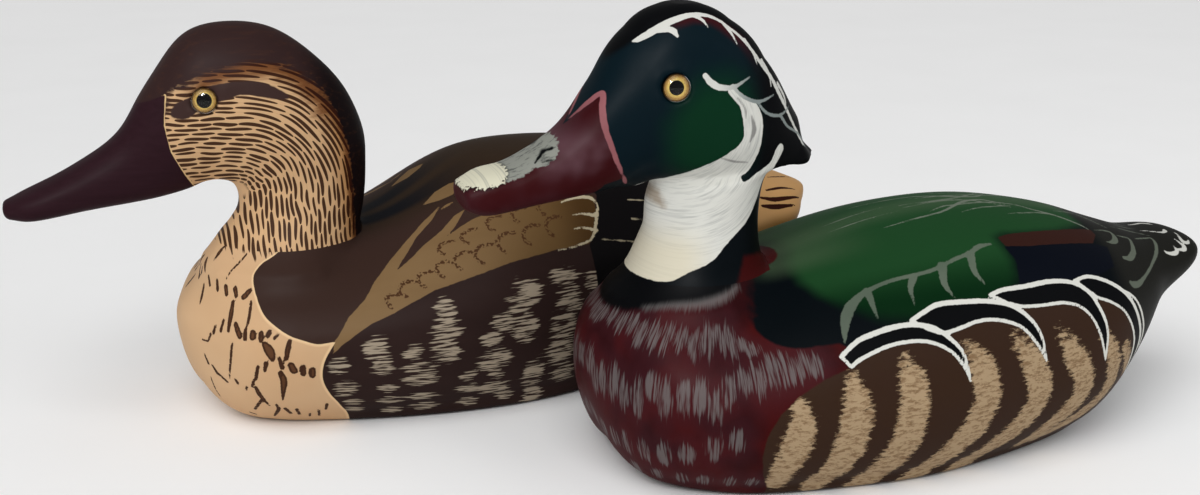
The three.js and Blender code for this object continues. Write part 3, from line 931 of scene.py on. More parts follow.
BILL_LINE = [
    (-50, 0, 66.2, 1.6), (-46.5, 3, 69.6, 1.6), (-42.2, 6.5, 73.6, 1.5), (-37.9, 9.8, 77, 1.2),
    (-37.4, 11.6, 76.4, 1.4), (-38.2, 13.2, 73.3, 1.4), (-38.6, 15.2, 68.5, 1.4),
    (-37.6, 16.8, 62.4, 1.2), (-35.6, 17.1, 56.8, 1.05), (-32.6, 15.8, 49.8, 0.95),
    (-28.4, 11.2, 42.7, 0.85), (-26.2, 8.5, 38.5, 0.6)]
BILL_SIDE = [
    (-37.5, 120), (-37.2, 77), (-38.2, 73.5), (-38.6, 68.5), (-37.6, 62.4), (-35.6, 56.8),
    (-32.6, 49.8), (-28.4, 42.7), (-26, 37), (-28, 26), (-60, 2), (-130, 0), (-130, 120)]
BILL_TOP = [
    (-130, -5), (-50, -5), (-50, 0), (-46.5, 3.2), (-42.2, 6.7), (-38.2, 10), (-37, 12), (40, 12.5),
    (40, 60), (-130, 60)]
BILL_SADDLE = [
    (-77, 46), (-71, 47), (-66, 50), (-61, 51), (-57, 54), (-55.5, 57), (-54, 61), (-50, 68),
    (-60, 72), (-80, 60), (-80, 48)]
BILL_NAIL = [
    (-96, 42), (-91, 43), (-86, 43), (-81, 44), (-77, 46), (-75, 48.5), (-73.5, 52), (-74, 60),
    (-98, 60)]
NOSTRILS = [
    [(-65, 51.5, 0.15), (-61, 54.8, 0.35), (-57, 56.8, 0.3)], [(-62.5, 52, 0.15),
    (-59.5, 52.8, 0.3), (-57, 53.2, 0.1)]]
THROAT_WHITE = [
    (10, 77), (15, 71), (17, 64), (17, 57), (10, 51), (1, 46), (-6, 42), (-14, 38.5), (-20, 38.3),
    (-26, 33), (-30, 18), (-34, 7), (-33, 2.6), (-28, 0.7), (-14, 0.5), (-5, 5), (4, 9), (12, 16),
    (22, 23), (28, 31), (31, 37), (35, 45), (38, 51), (36, 53), (34, 51), (32, 46), (28, 43),
    (20, 39), (19, 41), (22, 43), (25, 50), (26, 56), (26, 64), (23, 71), (17, 75), (12, 78.5)]
CHIN_SHADE = [[(-17, 37, 1.0), (-14, 34, 2.6), (-11, 29, 0.8)]]
CRESCENT_SHADOW = [
    [(14, 74.5, 0.2), (17.5, 70, 0.5), (18, 66, 0.2)], [(20.5, 67, 0.3), (22, 61, 1.1),
    (20.5, 56, 0.2)], [(9, 50, 0.2), (15, 48, 0.5), (21, 47, 0.2)]]
CROWN_EDGE = [
    (-48, 72), (-40, 86), (-30, 101), (-23, 109), (-14, 114.5), (-2, 118), (8, 116), (14, 111),
    (22, 101), (29, 89), (38, 74), (46, 60), (60, 44), (80, 50), (80, 160), (-60, 160)]
CROWN_LINES = [
    [(-23, 107.5, 1.6), (-20, 109.5, 2.2), (-16, 112, 2.4), (-11, 114.5, 2.2), (-2, 117, 1.7),
    (6, 116, 1.2), (13, 110.5, 0.9), (20, 100, 0.9), (26.5, 88, 0.9), (32, 80, 0.9),
    (36.5, 72, 0.9), (40, 66, 0.7), (45.5, 57, 0.6), (50, 50, 0.4)], [(-16, 111.5, 2.2),
    (-11, 109, 1.7), (-9, 103.5, 0.3)], [(-2, 117, 1.0), (2, 113.5, 0.8), (4, 108, 0.2)],
    [(11, 113, 0.8), (14, 105.5, 0.7), (15.5, 98, 0.2)], [(20, 102, 0.8), (23, 94, 0.6),
    (24.5, 87, 0.2)], [(28, 89, 0.8), (31, 82, 0.6), (31, 77, 0.2)], [(36, 77, 0.8),
    (39.5, 71, 0.6), (39.5, 67, 0.2)]]
CREST_LINES = [
    [(0.5, 84, 1.1), (3, 81, 1.4), (7, 79, 1.2), (13, 79, 0.8), (20, 82, 0.3)], [(12, 79.5, 0.6),
    (14, 77, 0.7), (18, 74, 0.7), (24, 72, 0.7), (32, 73.5, 0.25)], [(23, 72, 0.4), (28, 67, 0.6),
    (35, 65, 0.6), (42, 67, 0.2)], [(35, 65, 0.4), (37, 63, 0.6), (40, 59.5, 0.5), (47, 55, 0.4),
    (51.5, 49, 0.3)]]
NECK_MAROON = [(12, -4), (15.5, 2), (19, 9), (28, 7.5), (36, 5), (44, 2), (47, -4)]
CHEEK = (-8.0, 62.0)
CHEEK_SIZE = 25.0
GREEN_MIDDLE = (6.0, 60.0)
GREEN_REACH = (24.0, 30.0)

drake_head = carved(drake_blank, "drake_head_carved", DRAKE, DRAKE_HEAD_GRAIN, True)
takes_place_of(drake_head, "drake_head")
chart = head_chart(drake_head, DRAKE)
spot = in_head(vertices(drake_head), DRAKE)
spot[:, 1] = np.abs(spot[:, 1])
side_view = spot[:, [0, 2]]
keep(drake_head, "bill", np.maximum(to_patch(side_view, BILL_SIDE), to_patch(spot[:, :2], BILL_TOP)))
keep(drake_head, "bill_rim", strokes(spot, [BILL_LINE]))
keep(drake_head, "neck_maroon", to_patch(side_view, NECK_MAROON))
for name, outline in (("saddle", BILL_SADDLE), ("nail", eased(BILL_NAIL, 3, True)),
                      ("white", eased(THROAT_WHITE, 4, True)), ("crown", CROWN_EDGE)):
    keep(drake_head, name, to_patch(chart, outline))
for name, lines in (("nostrils", NOSTRILS), ("white_shadow", CRESCENT_SHADOW),
                    ("chin_shade", CHIN_SHADE), ("crown_lines", CROWN_LINES),
                    ("crest_lines", CREST_LINES)):
    keep(drake_head, name, strokes(chart, lines))
keep(drake_head, "back", chart[:, 0])
keep(drake_head, "up", chart[:, 1])
sweep_round = np.arctan2(chart[:, 1] - CHEEK[1], chart[:, 0] - CHEEK[0])
keep(drake_head, "round", sweep_round * CHEEK_SIZE)
keep(drake_head, "rise", np.hypot(*(chart - CHEEK).T))

coat = Paint("drake_head_paint")
bristles = coat.cloud(coat.place((0.5, 0.5, 0.06)), 1.0, 3.0, 0.6)
sweep = streaks(coat, 0.09, 0.75, 7.0)
fine_sweep = streaks(coat, 0.12, 1.6, 23.0)
spread = coat.cloud(coat.place(), 0.05)
from_cheek = coat.tree.nodes.new("ShaderNodeVectorMath")
from_cheek.operation = "LENGTH"
reach = []
for name, middle, size in zip(("back", "up"), GREEN_MIDDLE, GREEN_REACH):
    reach.append(coat.scaled(coat.mark(name), 1 / size, -middle / size))
coat.put(from_cheek.inputs[0], coat.pair(*reach))
green = coat.ramp(coat.scaled(spread, 0.4, from_cheek.outputs["Value"]), 1.35, 0.6)
colour = coat.over(DRAKE_TEAL, DRAKE_GREEN, green)
colour = coat.over(colour, DRAKE_BLACK, coat.fade("back", 16.0, 30.0))
colour = coat.over(colour, DRAKE_BLACK, coat.fade("up", 50.0, 34.0), 0.8)
red = coat.times(coat.fade("crown", 9.0, 3.0), coat.fade("back", -16.0, -4.0))
red = coat.times(red, coat.fade("back", 26.0, 14.0))
colour = coat.over(colour, DRAKE_CREST_RED, red, 0.85)
colour = coat.over(colour, DRAKE_BLACK, coat.fade("crown", 2.0, -2.0))
brushed = coat.maths("ADD", coat.ramp(sweep, 0.5, 0.66), coat.ramp(fine_sweep, 0.52, 0.62))
white = coat.over(DRAKE_WHITE, DRAKE_WHITE_GREY, brushed, 0.26)
low_front = coat.times(coat.fade("up", 26.0, 10.0), coat.fade("back", 8.0, -8.0))
white = coat.over(white, DRAKE_WHITE_SAND, low_front, 0.8)
white = coat.over(white, HEN_TAN, coat.inside("chin_shade", 3.0, 1.0), 0.6)
white = coat.over(white, DRAKE_WHITE_SHADOW, coat.inside("white_shadow", 0.8, 0.3), 0.8)
colour = coat.over(colour, white, coat.inside("white", 0.4, 0.35))
colour = coat.over(colour, DRAKE_NECK_RED, coat.inside("neck_maroon", 3.0, 0.8))
colour = coat.over(colour, DRAKE_LINE, coat.inside("crown_lines", 0.4, 0.35, 0.7))
line = coat.over(DRAKE_LINE, DRAKE_LINE_DIM, coat.fade("back", 4.0, 22.0))
colour = coat.over(colour, line, coat.inside("crest_lines", 0.4, 0.3, 0.7))
bill = coat.over(BILL_MAROON, BILL_PURPLE, coat.ramp(spread, 0.4, 0.7), 0.5)
off_middle = coat.maths("ABSOLUTE", coat.maths("SUBTRACT", coat.mark("up"), 54.0))
sheen = coat.times(coat.ramp(off_middle, 13.0, 2.0), coat.ramp(spread, 0.35, 0.65))
bill = coat.over(bill, BILL_SHEEN, sheen, 0.55)
saddle = coat.inside("saddle", 0.6, 1.3, 0.5)
bill = coat.over(bill, BILL_GREY, saddle)
saddle_streaks = coat.cloud(coat.place((0.06, 0.6, 0.6)), 1.0, 3.0, 0.6)
bill = coat.over(bill, BILL_GREY_DARK, coat.times(saddle, coat.ramp(saddle_streaks, 0.5, 0.7)))
bill = coat.over(bill, DRAKE_BLACK, coat.inside("nostrils", 0.4, 0.3))
bill = coat.over(bill, DRAKE_BLACK, coat.inside("nail", 1.4, 0.8, 1.1), 0.7)
nail_edge = coat.scaled(coat.cloud(coat.place((0.9, 0.9, 0.25))), 4.0, coat.mark("nail"))
ivory = coat.over(BILL_IVORY, BILL_GREY, coat.ramp(sweep, 0.5, 0.66), 0.45)
bill = coat.over(bill, ivory, coat.ramp(nail_edge, 1.75, 1.35))
colour = coat.over(colour, bill, coat.inside("bill", 0.3, 0.2))
pink = coat.over(BILL_PINK, BILL_PURPLE, spread, 0.6)
colour = coat.over(colour, pink, coat.inside("bill_rim", 0.4, 0.35))
coat.done(drake_head, colour, 0.42, bristles)

# Drake's body: carved wood, maroon breast dry-brushed in grey, green and blue-black back, brown
# side with tan bars, and a row of white-edged black feathers along the wing. The marks on the
# tail are (back, aside, height), as they run over its top.
DRAKE_BODY_GRAIN = 1.16
DRAKE_MAROON = pigment(62, 11, 11)
DRAKE_MAROON_DARK = pigment(40, 9, 12)
DRAKE_MAROON_PURPLE = pigment(66, 30, 36)
BREAST_GREY = pigment(112, 108, 107)
BACK_GREEN = pigment(26, 64, 33)
BACK_GREEN_DEEP = pigment(3, 36, 13)
# The pale green below is a painted highlight on the green back.
BACK_GREEN_HIGHLIGHT = pigment(74, 94, 68)
BACK_BLUE = pigment(3, 8, 12)
TAIL_BLACK = pigment(27, 27, 24)
SPECULUM = pigment(5, 9, 19)
WING_BAR = pigment(48, 25, 20)
SIDE_BROWN = pigment(52, 35, 23)
SIDE_TAN = pigment(174, 150, 118)
SIDE_TAN_DARK = pigment(134, 108, 80)
WING_GREY = pigment(108, 116, 103)
WING_GREY_DARK = pigment(78, 92, 78)
SIDE_AREA = [
    (104, -75), (101, -40), (96, -29), (94, -19), (95, -10), (99, -1), (107, 6), (117, 11),
    (129, 15), (134, 18), (144, 21), (152, 22), (161, 22), (170, 23), (178, 24), (186, 26),
    (194, 26), (203, 30), (210, 29), (221, 29), (231, 29), (240, 27), (251, 29), (258, 27),
    (266, 22), (272, 12), (275, 2), (276, -8), (268, -20), (262, -36), (258, -75)]
BACK_AREA = [
    (127, 24), (119, 24), (112, 24), (105, 26), (100, 31), (98, 40), (100, 52), (104, 66),
    (112, 76), (122, 86), (126, 96), (128, 120), (430, 120), (430, 20), (272, 12), (266, 22),
    (258, 27), (251, 29), (240, 27), (221, 29), (203, 30), (194, 26), (178, 24), (161, 22),
    (144, 21), (134, 18)]
BACK_ROUNDED = 12
COLLAR_AREA = [
    (-8, 36), (6, 36.5), (20, 38), (33, 42), (48, 46.5), (65, 50), (80, 55), (90, 59), (96, 63),
    (99, 70), (100.5, 80), (101, 125), (-8, 125)]
# A grey band under the collar: partly painted sheen along the collar's lower edge, partly
# dry-brushed grey at its ragged foot.
GREY_BAND_AND_SHEEN = [(32, 43, 2.0), (48, 47.5, 4.0), (65, 50.5, 4.5), (80, 54.5, 4.2), (95, 61, 2.5)]
GREEN_AREA = [
    (160, 28), (145, 31), (135, 38), (128, 47), (124, 58), (123, 68), (125, 80), (130, 90),
    (134, 120), (268, 120), (268, 90), (266, 78), (262, 73), (247, 67), (230, 65), (219, 64),
    (213, 62), (213, 57), (214, 49), (212, 41), (205, 32), (185, 28)]
SPECULUM_AREA = [
    (213, 57), (215, 49), (211, 36), (228, 37), (246, 39), (258, 40), (268, 44), (271, 57),
    (263, 58), (242, 57), (225, 56)]
BAR_AREA = [
    (213, 62.5), (219, 64), (230, 65), (247, 67), (262, 70), (269, 71), (269, 66), (263, 58.5),
    (242, 57), (225, 56), (214, 57)]
SICKLES = [
    ([(126, 19), (134, 24), (141, 26), (150, 27.5), (158, 27.5), (166, 25.5), (172, 21), (177, 15),
    (179.5, 5)], [(177, 10), (173, 15), (168, 18.5), (161, 21), (152, 21.5), (144, 20.5),
    (134, 17.5), (129, 15)]), ([(158, 29), (164, 31.5), (172, 34), (185, 33.5), (195, 32.5),
    (204, 30), (211, 25), (216, 18), (218.5, 7)], [(214, 14), (208, 20.5), (202, 23.5), (194, 25.5),
    (186, 25.5), (178, 24), (170, 23), (164, 25)]), ([(196, 35), (203, 36.5), (215, 37), (227, 38),
    (238, 37), (246, 32.5), (251, 24), (254, 14), (253, 1)], [(250, 12), (246, 20), (240, 26),
    (231, 28.5), (221, 28.5), (210, 29), (203, 31)]), ([(241, 37.5), (250, 39), (261, 35.5),
    (270, 29), (276, 19), (280, 6), (280, -8), (276, -20)], [(274, -14), (274.5, 2), (272, 12),
    (266, 21.5), (258, 26.5), (251, 29)])]
SICKLE_EXTRA = [[(266, 32), (274, 28), (279, 21), (283, 8), (283, -4)]]
WHITE_LINE = 0.7
WHITE_TOP_LINE = [(0, 0.8), (0.3, 1.05), (0.75, 0.9), (1, 0.5)]
BACK_HOOKS = [
    [(129, 24, 0.3), (132, 32, 1.8), (136.5, 38.5, 2.1), (143, 43.5, 1.4), (149, 46, 1.0),
    (158, 48, 0.9), (167, 48.5, 0.9), (176, 49.5, 0.9), (187, 53, 0.9), (196, 55.5, 1.0),
    (202, 58.5, 1.2), (208, 59, 0.5)], [(145, 31, 0.2), (145.5, 38, 1.1), (146, 45, 1.7)],
    [(162, 35, 0.2), (163, 42, 1.0), (167, 48, 1.6)], [(180, 35, 0.2), (178, 42, 1.3),
    (181, 51, 2.0)], [(196, 39, 0.2), (193.5, 46, 1.3), (196, 55, 1.9)]]
# Grey feather lines over the back and tail; the last line, along the ridge of the back, is a painted
# highlight.
BACK_LINES_AND_HIGHLIGHT = [
    [(170, 83.5, 0.2), (186, 85.6, 0.6), (199, 87.7, 0.7), (208, 92.5, 0.8), (215, 97, 1.0),
    (226, 99, 0.9), (234, 92, 0.3)], [(187, 100, 0.2), (201, 101, 0.6), (216, 100, 0.7),
    (228, 93, 0.5), (235, 88, 0.2)], [(195, 90, 0.2), (204, 94, 0.6), (210, 94, 0.7),
    (219, 94.5, 0.7), (230, 95, 0.7), (240, 92.5, 0.7), (246, 87.5, 0.8), (254, 83.5, 0.9),
    (261, 78, 0.9), (265.5, 74, 0.8), (268, 70, 0.3)], [(208, 85, 0.2), (217, 87.7, 0.5),
    (227, 89, 0.6), (236, 90.5, 0.5)], [(229, 80.5, 0.2), (238, 82, 0.5), (246, 83.5, 0.6),
    (254, 83, 0.6), (260, 79, 0.3)], [(259, 90, 0.3), (266, 92, 0.6), (272, 93, 0.7),
    (278, 89.6, 0.7), (282, 84, 0.6), (285, 80.5, 0.3)], [(140, 98, 0.2), (165, 97, 0.5),
    (190, 97, 0.2)]]
TAIL_HOOKS = [
    [(234, 23, 88, 0.3), (241, 20, 86.3, 0.5), (245.8, 19.2, 84.8, 0.8), (245.5, 23, 83.9, 1.3),
    (243, 26.5, 83.1, 1.5), (238.8, 29, 83.3, 1.1), (235.7, 30, 84.3, 0.4)],
    [(247.5, 20.6, 83.8, 0.3), (252, 20, 82.4, 0.5), (255.8, 19.7, 81, 0.7), (254, 24.7, 79.7, 1.0),
    (250.4, 30.3, 78.2, 1.4), (245, 35, 77.5, 1.4), (240.5, 36.4, 78.5, 0.9)],
    [(261, 17.6, 79.9, 0.4), (268, 14.7, 78.6, 0.6), (273, 13.8, 77.8, 0.6), (272, 18.3, 76.6, 0.8),
    (267.8, 24.5, 74.7, 0.9), (260, 31.9, 72.5, 0.7), (250.5, 39.5, 70, 0.8),
    (244.5, 43.8, 68.9, 1.3), (239.6, 46, 69.4, 1.6), (237.7, 45.8, 70.5, 1.0)],
    [(253, 9.7, 84.3, 0.3), (262, 8.7, 81.4, 0.6), (270, 9.4, 79, 0.5), (275, 11.8, 77.9, 0.2)],
    [(255, 4, 84, 0.3), (265, 3, 80.8, 0.5), (274, 3, 78.5, 0.2)]]
TAIL_WHITES = [
    [(273, 4.6, 79, 0.2), (277.3, 5.6, 78.5, 0.6), (281.2, 7, 78.1, 0.7), (284, 8, 77.8, 0.9),
    (286.5, 6.5, 77.8, 1.0), (287.5, 4.2, 77.8, 0.5)], [(291, 4.6, 77.2, 0.2),
    (289.9, 11, 76.9, 0.5), (288.3, 16, 76.1, 0.9), (288.8, 18, 75.2, 1.1), (290.9, 17.3, 75, 0.9),
    (292.5, 15.5, 75.3, 0.3)], [(285, 14, 76.8, 0.2), (285.3, 17.5, 75.8, 0.5),
    (286.4, 20, 74.8, 1.0), (285, 22, 73.6, 1.1), (282, 22, 73.9, 0.6)], [(280, 18, 75.8, 0.2),
    (280.6, 20.6, 74.8, 0.5), (280.6, 22.9, 73.6, 1.0), (278, 24, 73, 1.1),
    (274.5, 23.7, 73.6, 0.8), (273.3, 22.2, 74.6, 0.2)]]
SIDE_BARS = [
    [(107, 2, 2.0), (108, -5, 4.0), (107, -13, 5.0), (105, -22, 4.5), (103, -36, 3.5)],
    [(129, 10, 2.0), (130, 3, 4.0), (130, -6, 5.5), (129, -15, 5.5), (126, -26, 5.0),
    (120, -38, 4.0)], [(151, 15, 2.0), (154, 6, 4.5), (154, -10, 5.5), (151, -20, 5.5),
    (146, -31, 5.0), (137, -46, 4.0)], [(180, 18, 3.0), (186, 8, 5.0), (188, -4, 5.5),
    (184, -14, 5.5), (177, -23, 5.0), (160, -44, 3.5)], [(203, 20, 3.0), (211, 8, 4.5),
    (216, -4, 5.0), (213, -14, 5.0), (205, -23, 4.5), (184, -42, 3.5)], [(227, 19, 2.5),
    (234, 7, 4.0), (241, -4, 4.5), (240, -15, 4.5), (232, -24, 4.0), (220, -36, 3.0)],
    [(253, 12, 2.0), (259, 0, 3.0), (260, -13, 3.0), (255, -23, 3.0), (241, -31, 3.0),
    (228, -37, 2.5)], [(267, 4, 1.5), (272, -8, 2.0), (273, -20, 2.0)]]
BREAST_SPREAD = (5.2, 1.7)
BREAST_BRUSHINGS = [
    [(2, 31, 4), (6, 34, 4), (14, 34, 4.5), (22, 33, 5), (30, 33, 5.5), (37, 31, 6), (44, 30, 7),
    (51, 30, 7), (58, 31, 6), (65, 29, 7), (71, 32, 8), (77, 33, 6), (83, 32, 8), (89, 29, 3.5),
    (93, 26, 3)], [(3, 10, 5), (9, 10, 6), (14, 4, 7), (20, 4, 7), (27, 5, 8.5), (34, 2, 7),
    (42, 2, 8), (49, 9, 6), (55, 5, 7.5), (63, 6, 6), (69, 7, 7.5), (75, 4, 6.5), (80, 9, 6),
    (86, 13, 5), (92, 13, 6), (98, 15, 6), (104, 17, 6), (110, 17, 5), (115, 17, 4)], [(4, -20, 5),
    (14, -24, 5), (24, -25, 5), (33, -24, 6), (44, -24, 6), (54, -22, 6), (64, -19, 5),
    (75, -15, 6), (84, -12, 5)], [(8, -40, 4), (20, -40, 4), (34, -39, 4), (48, -38, 4),
    (60, -38, 4), (71, -37, 4), (83, -37, 4), (93, -36, 3)]]

drake_body = carved(drake_blank, "drake_body_carved", DRAKE, DRAKE_BODY_GRAIN, False)
takes_place_of(drake_body, "drake_body")
bpy.data.objects.remove(drake_blank)
chart = body_chart(drake_body, DRAKE)
spot = in_bird(vertices(drake_body), DRAKE)
spot[:, 1] = np.abs(spot[:, 1])
keep(drake_body, "round", chart[:, 0])
keep(drake_body, "rise", chart[:, 1])
keep(drake_body, "height", spot[:, 2])
back_edge = eased(BACK_AREA[:BACK_ROUNDED], 4).tolist() + BACK_AREA[BACK_ROUNDED:]
for name, outline in (("side", SIDE_AREA), ("back", back_edge), ("collar", COLLAR_AREA),
                      ("green", GREEN_AREA), ("speculum", SPECULUM_AREA), ("wing_bar", BAR_AREA)):
    keep(drake_body, name, to_patch(chart, outline))
for name, lines in (("grey_band_and_sheen", [GREY_BAND_AND_SHEEN]), ("back_hooks", BACK_HOOKS),
                    ("back_lines_and_highlight", BACK_LINES_AND_HIGHLIGHT), ("side_bars", SIDE_BARS)):
    keep(drake_body, name, strokes(chart, lines))
ink = np.full(len(chart), FAR)
white_lines = strokes(chart, SICKLE_EXTRA, WHITE_LINE)
for top, low in SICKLES:
    top, low = eased(top), eased(low)
    outline = np.vstack((top, low))
    ink = np.minimum(ink, to_patch(chart, outline))
    wide = np.interp(np.linspace(0, 1, len(top)), *zip(*WHITE_TOP_LINE))
    wide = np.concatenate((wide, np.full(len(low) + 1, WHITE_LINE)))
    edge = np.column_stack((np.vstack((outline, outline[:1])), wide))
    white_lines = np.minimum(white_lines, to_stroke(chart, edge))
keep(drake_body, "sickles", ink)
keep(drake_body, "sickle_lines", white_lines)
keep(drake_body, "tail_hooks", strokes(spot, TAIL_HOOKS))
keep(drake_body, "tail_whites", strokes(spot, TAIL_WHITES))
spots = [(along, up, BREAST_SPREAD[0], half_high * BREAST_SPREAD[1])
         for arc in BREAST_BRUSHINGS for along, up, half_high in arc]
keep(drake_body, "brushed", dabs_of(chart, spots))

coat = Paint("drake_body_paint")
upright = streaks(coat, 0.95, 0.06, 11.0)
level = streaks(coat, 0.16, 0.75, 5.0)
soft = coat.cloud(coat.place(), 0.045)
colour = coat.over(DRAKE_MAROON, DRAKE_MAROON_DARK, coat.ramp(soft, 0.4, 0.65))
colour = coat.over(colour, DRAKE_MAROON_PURPLE, coat.fade("brushed", 2.2, 0.6), 0.4)
share = coat.dry(coat.fade("brushed", 1.5, 0.3), upright, 0.12, 0.8)
colour = coat.over(colour, BREAST_GREY, share, 0.62)
collar = coat.ramp(coat.scaled(upright, 4.0, coat.mark("collar")), 4.0, 0.0)
colour = coat.over(colour, DRAKE_BLACK, collar)
# Grey band under the collar: painted sheen on the collar's lower edge, with dry-brushed grey at its
# ragged foot.
band = coat.ramp(coat.scaled(upright, 7.0, coat.mark("grey_band_and_sheen")), 5.0, -1.0)
colour = coat.over(colour, BREAST_GREY, coat.times(band, coat.fade("collar", -5.0, 1.0)), 0.62)
side = coat.over(SIDE_BROWN, HEN_POCKET, soft, 0.5)
speckled = coat.cloud(coat.place((0.22, 0.6, 0.6)), 1.0, 4.0, 0.8)
speckled = coat.scaled(speckled, 0.75, coat.times(level, 0.45))
bars = coat.times(coat.fade("side_bars", 6.5, -2.5), coat.fade("rise", 34.0, 6.0))
bars = coat.dry(bars, speckled, 0.3, 0.6)
patchy = coat.cloud(coat.place((0.25, 0.7, 0.7)), 1.0, 3.0, 0.7)
bar_tan = coat.over(SIDE_TAN_DARK, SIDE_TAN, coat.ramp(patchy, 0.36, 0.56))
side = coat.over(side, bar_tan, bars, 0.88)
colour = coat.over(colour, side, coat.inside("side", 0.8, 0.5))
green = coat.over(BACK_GREEN_DEEP, BACK_GREEN, coat.fade("rise", 36.0, 58.0))
green_edge = coat.ramp(coat.scaled(soft, 6.0, coat.mark("green")), 7.0, -2.0)
back = coat.over(BACK_BLUE, green, green_edge)
# Painted highlights on the green back: a lighter streak towards the neck, and a lighter top along
# the ridge.
lit = coat.times(coat.fade("rise", 62.0, 80.0), coat.fade("round", 170.0, 128.0))
back = coat.over(back, BACK_GREEN_HIGHLIGHT, lit, 0.45)
back = coat.over(back, BACK_GREEN_HIGHLIGHT, coat.fade("rise", 86.0, 100.0), 0.35)
back = coat.over(back, TAIL_BLACK, coat.fade("round", 262.0, 276.0))
back = coat.over(back, SPECULUM, coat.inside("speculum", 1.2, 0.5))
back = coat.over(back, WING_BAR, coat.inside("wing_bar", 0.6, 0.4))
hook_grey = coat.over(WING_GREY, WING_GREY_DARK, soft)
back = coat.over(back, hook_grey, coat.inside("back_hooks", 0.5, 0.4, 0.8), 0.8)
# Grey lines on the back; the one along the ridge is a painted highlight.
back = coat.over(back, WING_GREY, coat.inside("back_lines_and_highlight", 0.7, 0.3, 0.8), 0.9)
back = coat.over(back, WING_GREY, coat.inside("tail_hooks", 0.5, 0.3), 0.65)
back = coat.over(back, DRAKE_WHITE, coat.inside("tail_whites", 0.5, 0.3), 0.85)
smudge = coat.times(coat.fade("round", 118.0, 108.0), coat.fade("rise", 34.0, 44.0))
back_edge = coat.times(coat.mark("back"), coat.scaled(smudge, -0.8, 1.0))
ragged = coat.maths("SUBTRACT", coat.cloud(coat.place(), 0.35), 0.5)
back_edge = coat.maths("ADD", ragged, back_edge)
colour = coat.over(colour, back, coat.ramp(back_edge, 0.7, -0.7))
tail_under = coat.times(coat.fade("round", 268.0, 282.0), coat.fade("rise", 24.0, 18.0))
colour = coat.over(colour, TAIL_BLACK, tail_under)
colour = coat.over(colour, DRAKE_BLACK, coat.inside("sickles", 0.4, 0.1))
colour = coat.over(colour, DRAKE_WHITE, coat.inside("sickle_lines", 0.35, 0.25, 0.6))
coat.done(drake_body, underside(coat, colour), 0.44, upright)

# Taxidermist's glass eyes: a clear domed button, painted behind with a gold iris and a round
# black pupil, set in a bored socket. Each bird's eye has its place in the head, how far it looks
# forward and up in degrees, and the radius of its pupil.
EYE_RADIUS = 5.5
EYE_DOME = 2.6
EYE_BACK = 1.8
GLASS_IOR = 1.33
GLASS_SHINE = 0.5
GLASS_ROUGHNESS = 0.06
PAINT_ROUGHNESS = 0.5
EYE_SIDES = 48
DISC_BEVEL = 0.3
DISC_INSET = 0.45
IRIS_RADIUS = 4.8
IRIS_DEPTH = 0.9
IRIS_THICK = 0.3
PUPIL_THICK = 0.12
PUPIL_DEPTH = 0.75
IRIS_GOLD = pigment(186, 160, 88)
IRIS_BROWN = pigment(138, 106, 54)
IRIS_FIBRE = pigment(112, 84, 34)
IRIS_RIM = pigment(60, 40, 18)
PUPIL_BLACK = pigment(4, 4, 5)
PUPIL_SPECK = pigment(12, 10, 10)
EYES = {"hen": (HEN, (-12.8, 21.5, 67.4), 10.0, 3.0, 3.0),
        "drake": (DRAKE, (-11.0, 22.5, 79.8), 10.0, 3.0, 2.7)}


def eye_matrix(bird, spot, forward, up, side):
    forward = math.radians(forward)
    outward = Vector((-math.sin(forward), side * math.cos(forward), math.sin(math.radians(up))))
    turn = Vector((0, 0, 1)).rotation_difference(outward.normalized()).to_matrix().to_4x4()
    matrix = Matrix.Scale(MM, 4) @ Matrix.Translation((*bird["place"], 0))
    matrix = matrix @ Matrix.Rotation(math.radians(bird["turn"]), 4, "Z")
    matrix = matrix @ Matrix.Translation((bird["seat"][0], 0, bird["seat"][1] + SEAT_GAP))
    matrix = matrix @ Matrix.Rotation(math.radians(bird["head_turn"]), 4, "Z")
    return matrix @ Matrix.Translation((spot[0], side * spot[1], spot[2])) @ turn


def button(name):
    """A lens: a sphere flattened to a dome in front and a shallow bulge behind."""
    bpy.ops.object.select_all(action="DESELECT")
    bpy.ops.mesh.primitive_uv_sphere_add(segments=EYE_SIDES, ring_count=EYE_SIDES // 2,
                                         radius=EYE_RADIUS)
    lens = bpy.context.object
    lens.name = name
    for front, height in ((True, EYE_DOME), (False, EYE_BACK)):
        bpy.ops.object.mode_set(mode="EDIT")
        bpy.ops.mesh.select_all(action="DESELECT")
        bpy.ops.object.mode_set(mode="OBJECT")
        for vertex in lens.data.vertices:
            vertex.select = vertex.co.z > 0.01 if front else vertex.co.z < -0.01
        bpy.ops.object.mode_set(mode="EDIT")
        bpy.ops.transform.resize(value=(1, 1, height / EYE_RADIUS), center_override=(0, 0, 0))
        bpy.ops.object.mode_set(mode="OBJECT")
    bpy.ops.object.shade_smooth()
    return lens


def painted_disc(name, radius, thick, face):
    """A thin painted disc with an eased edge, its face at the given depth."""
    bpy.ops.object.select_all(action="DESELECT")
    bpy.ops.mesh.primitive_cylinder_add(vertices=EYE_SIDES, radius=radius, depth=thick,
                                        location=(0, 0, face - thick / 2))
    disc = bpy.context.object
    disc.name = name
    bpy.ops.object.transform_apply(location=True)
    finish_with(disc, "BEVEL", width=thick * DISC_BEVEL, segments=2, limit_method="ANGLE")
    with carving(disc.data) as shape:
        ends = [flat for flat in shape.faces if len(flat.verts) == EYE_SIDES]
        bmesh.ops.inset_region(shape, faces=ends, thickness=radius * DISC_INSET)
    keep(disc, "from_centre", np.hypot(*vertices(disc).T[:2]) * MM)
    return disc


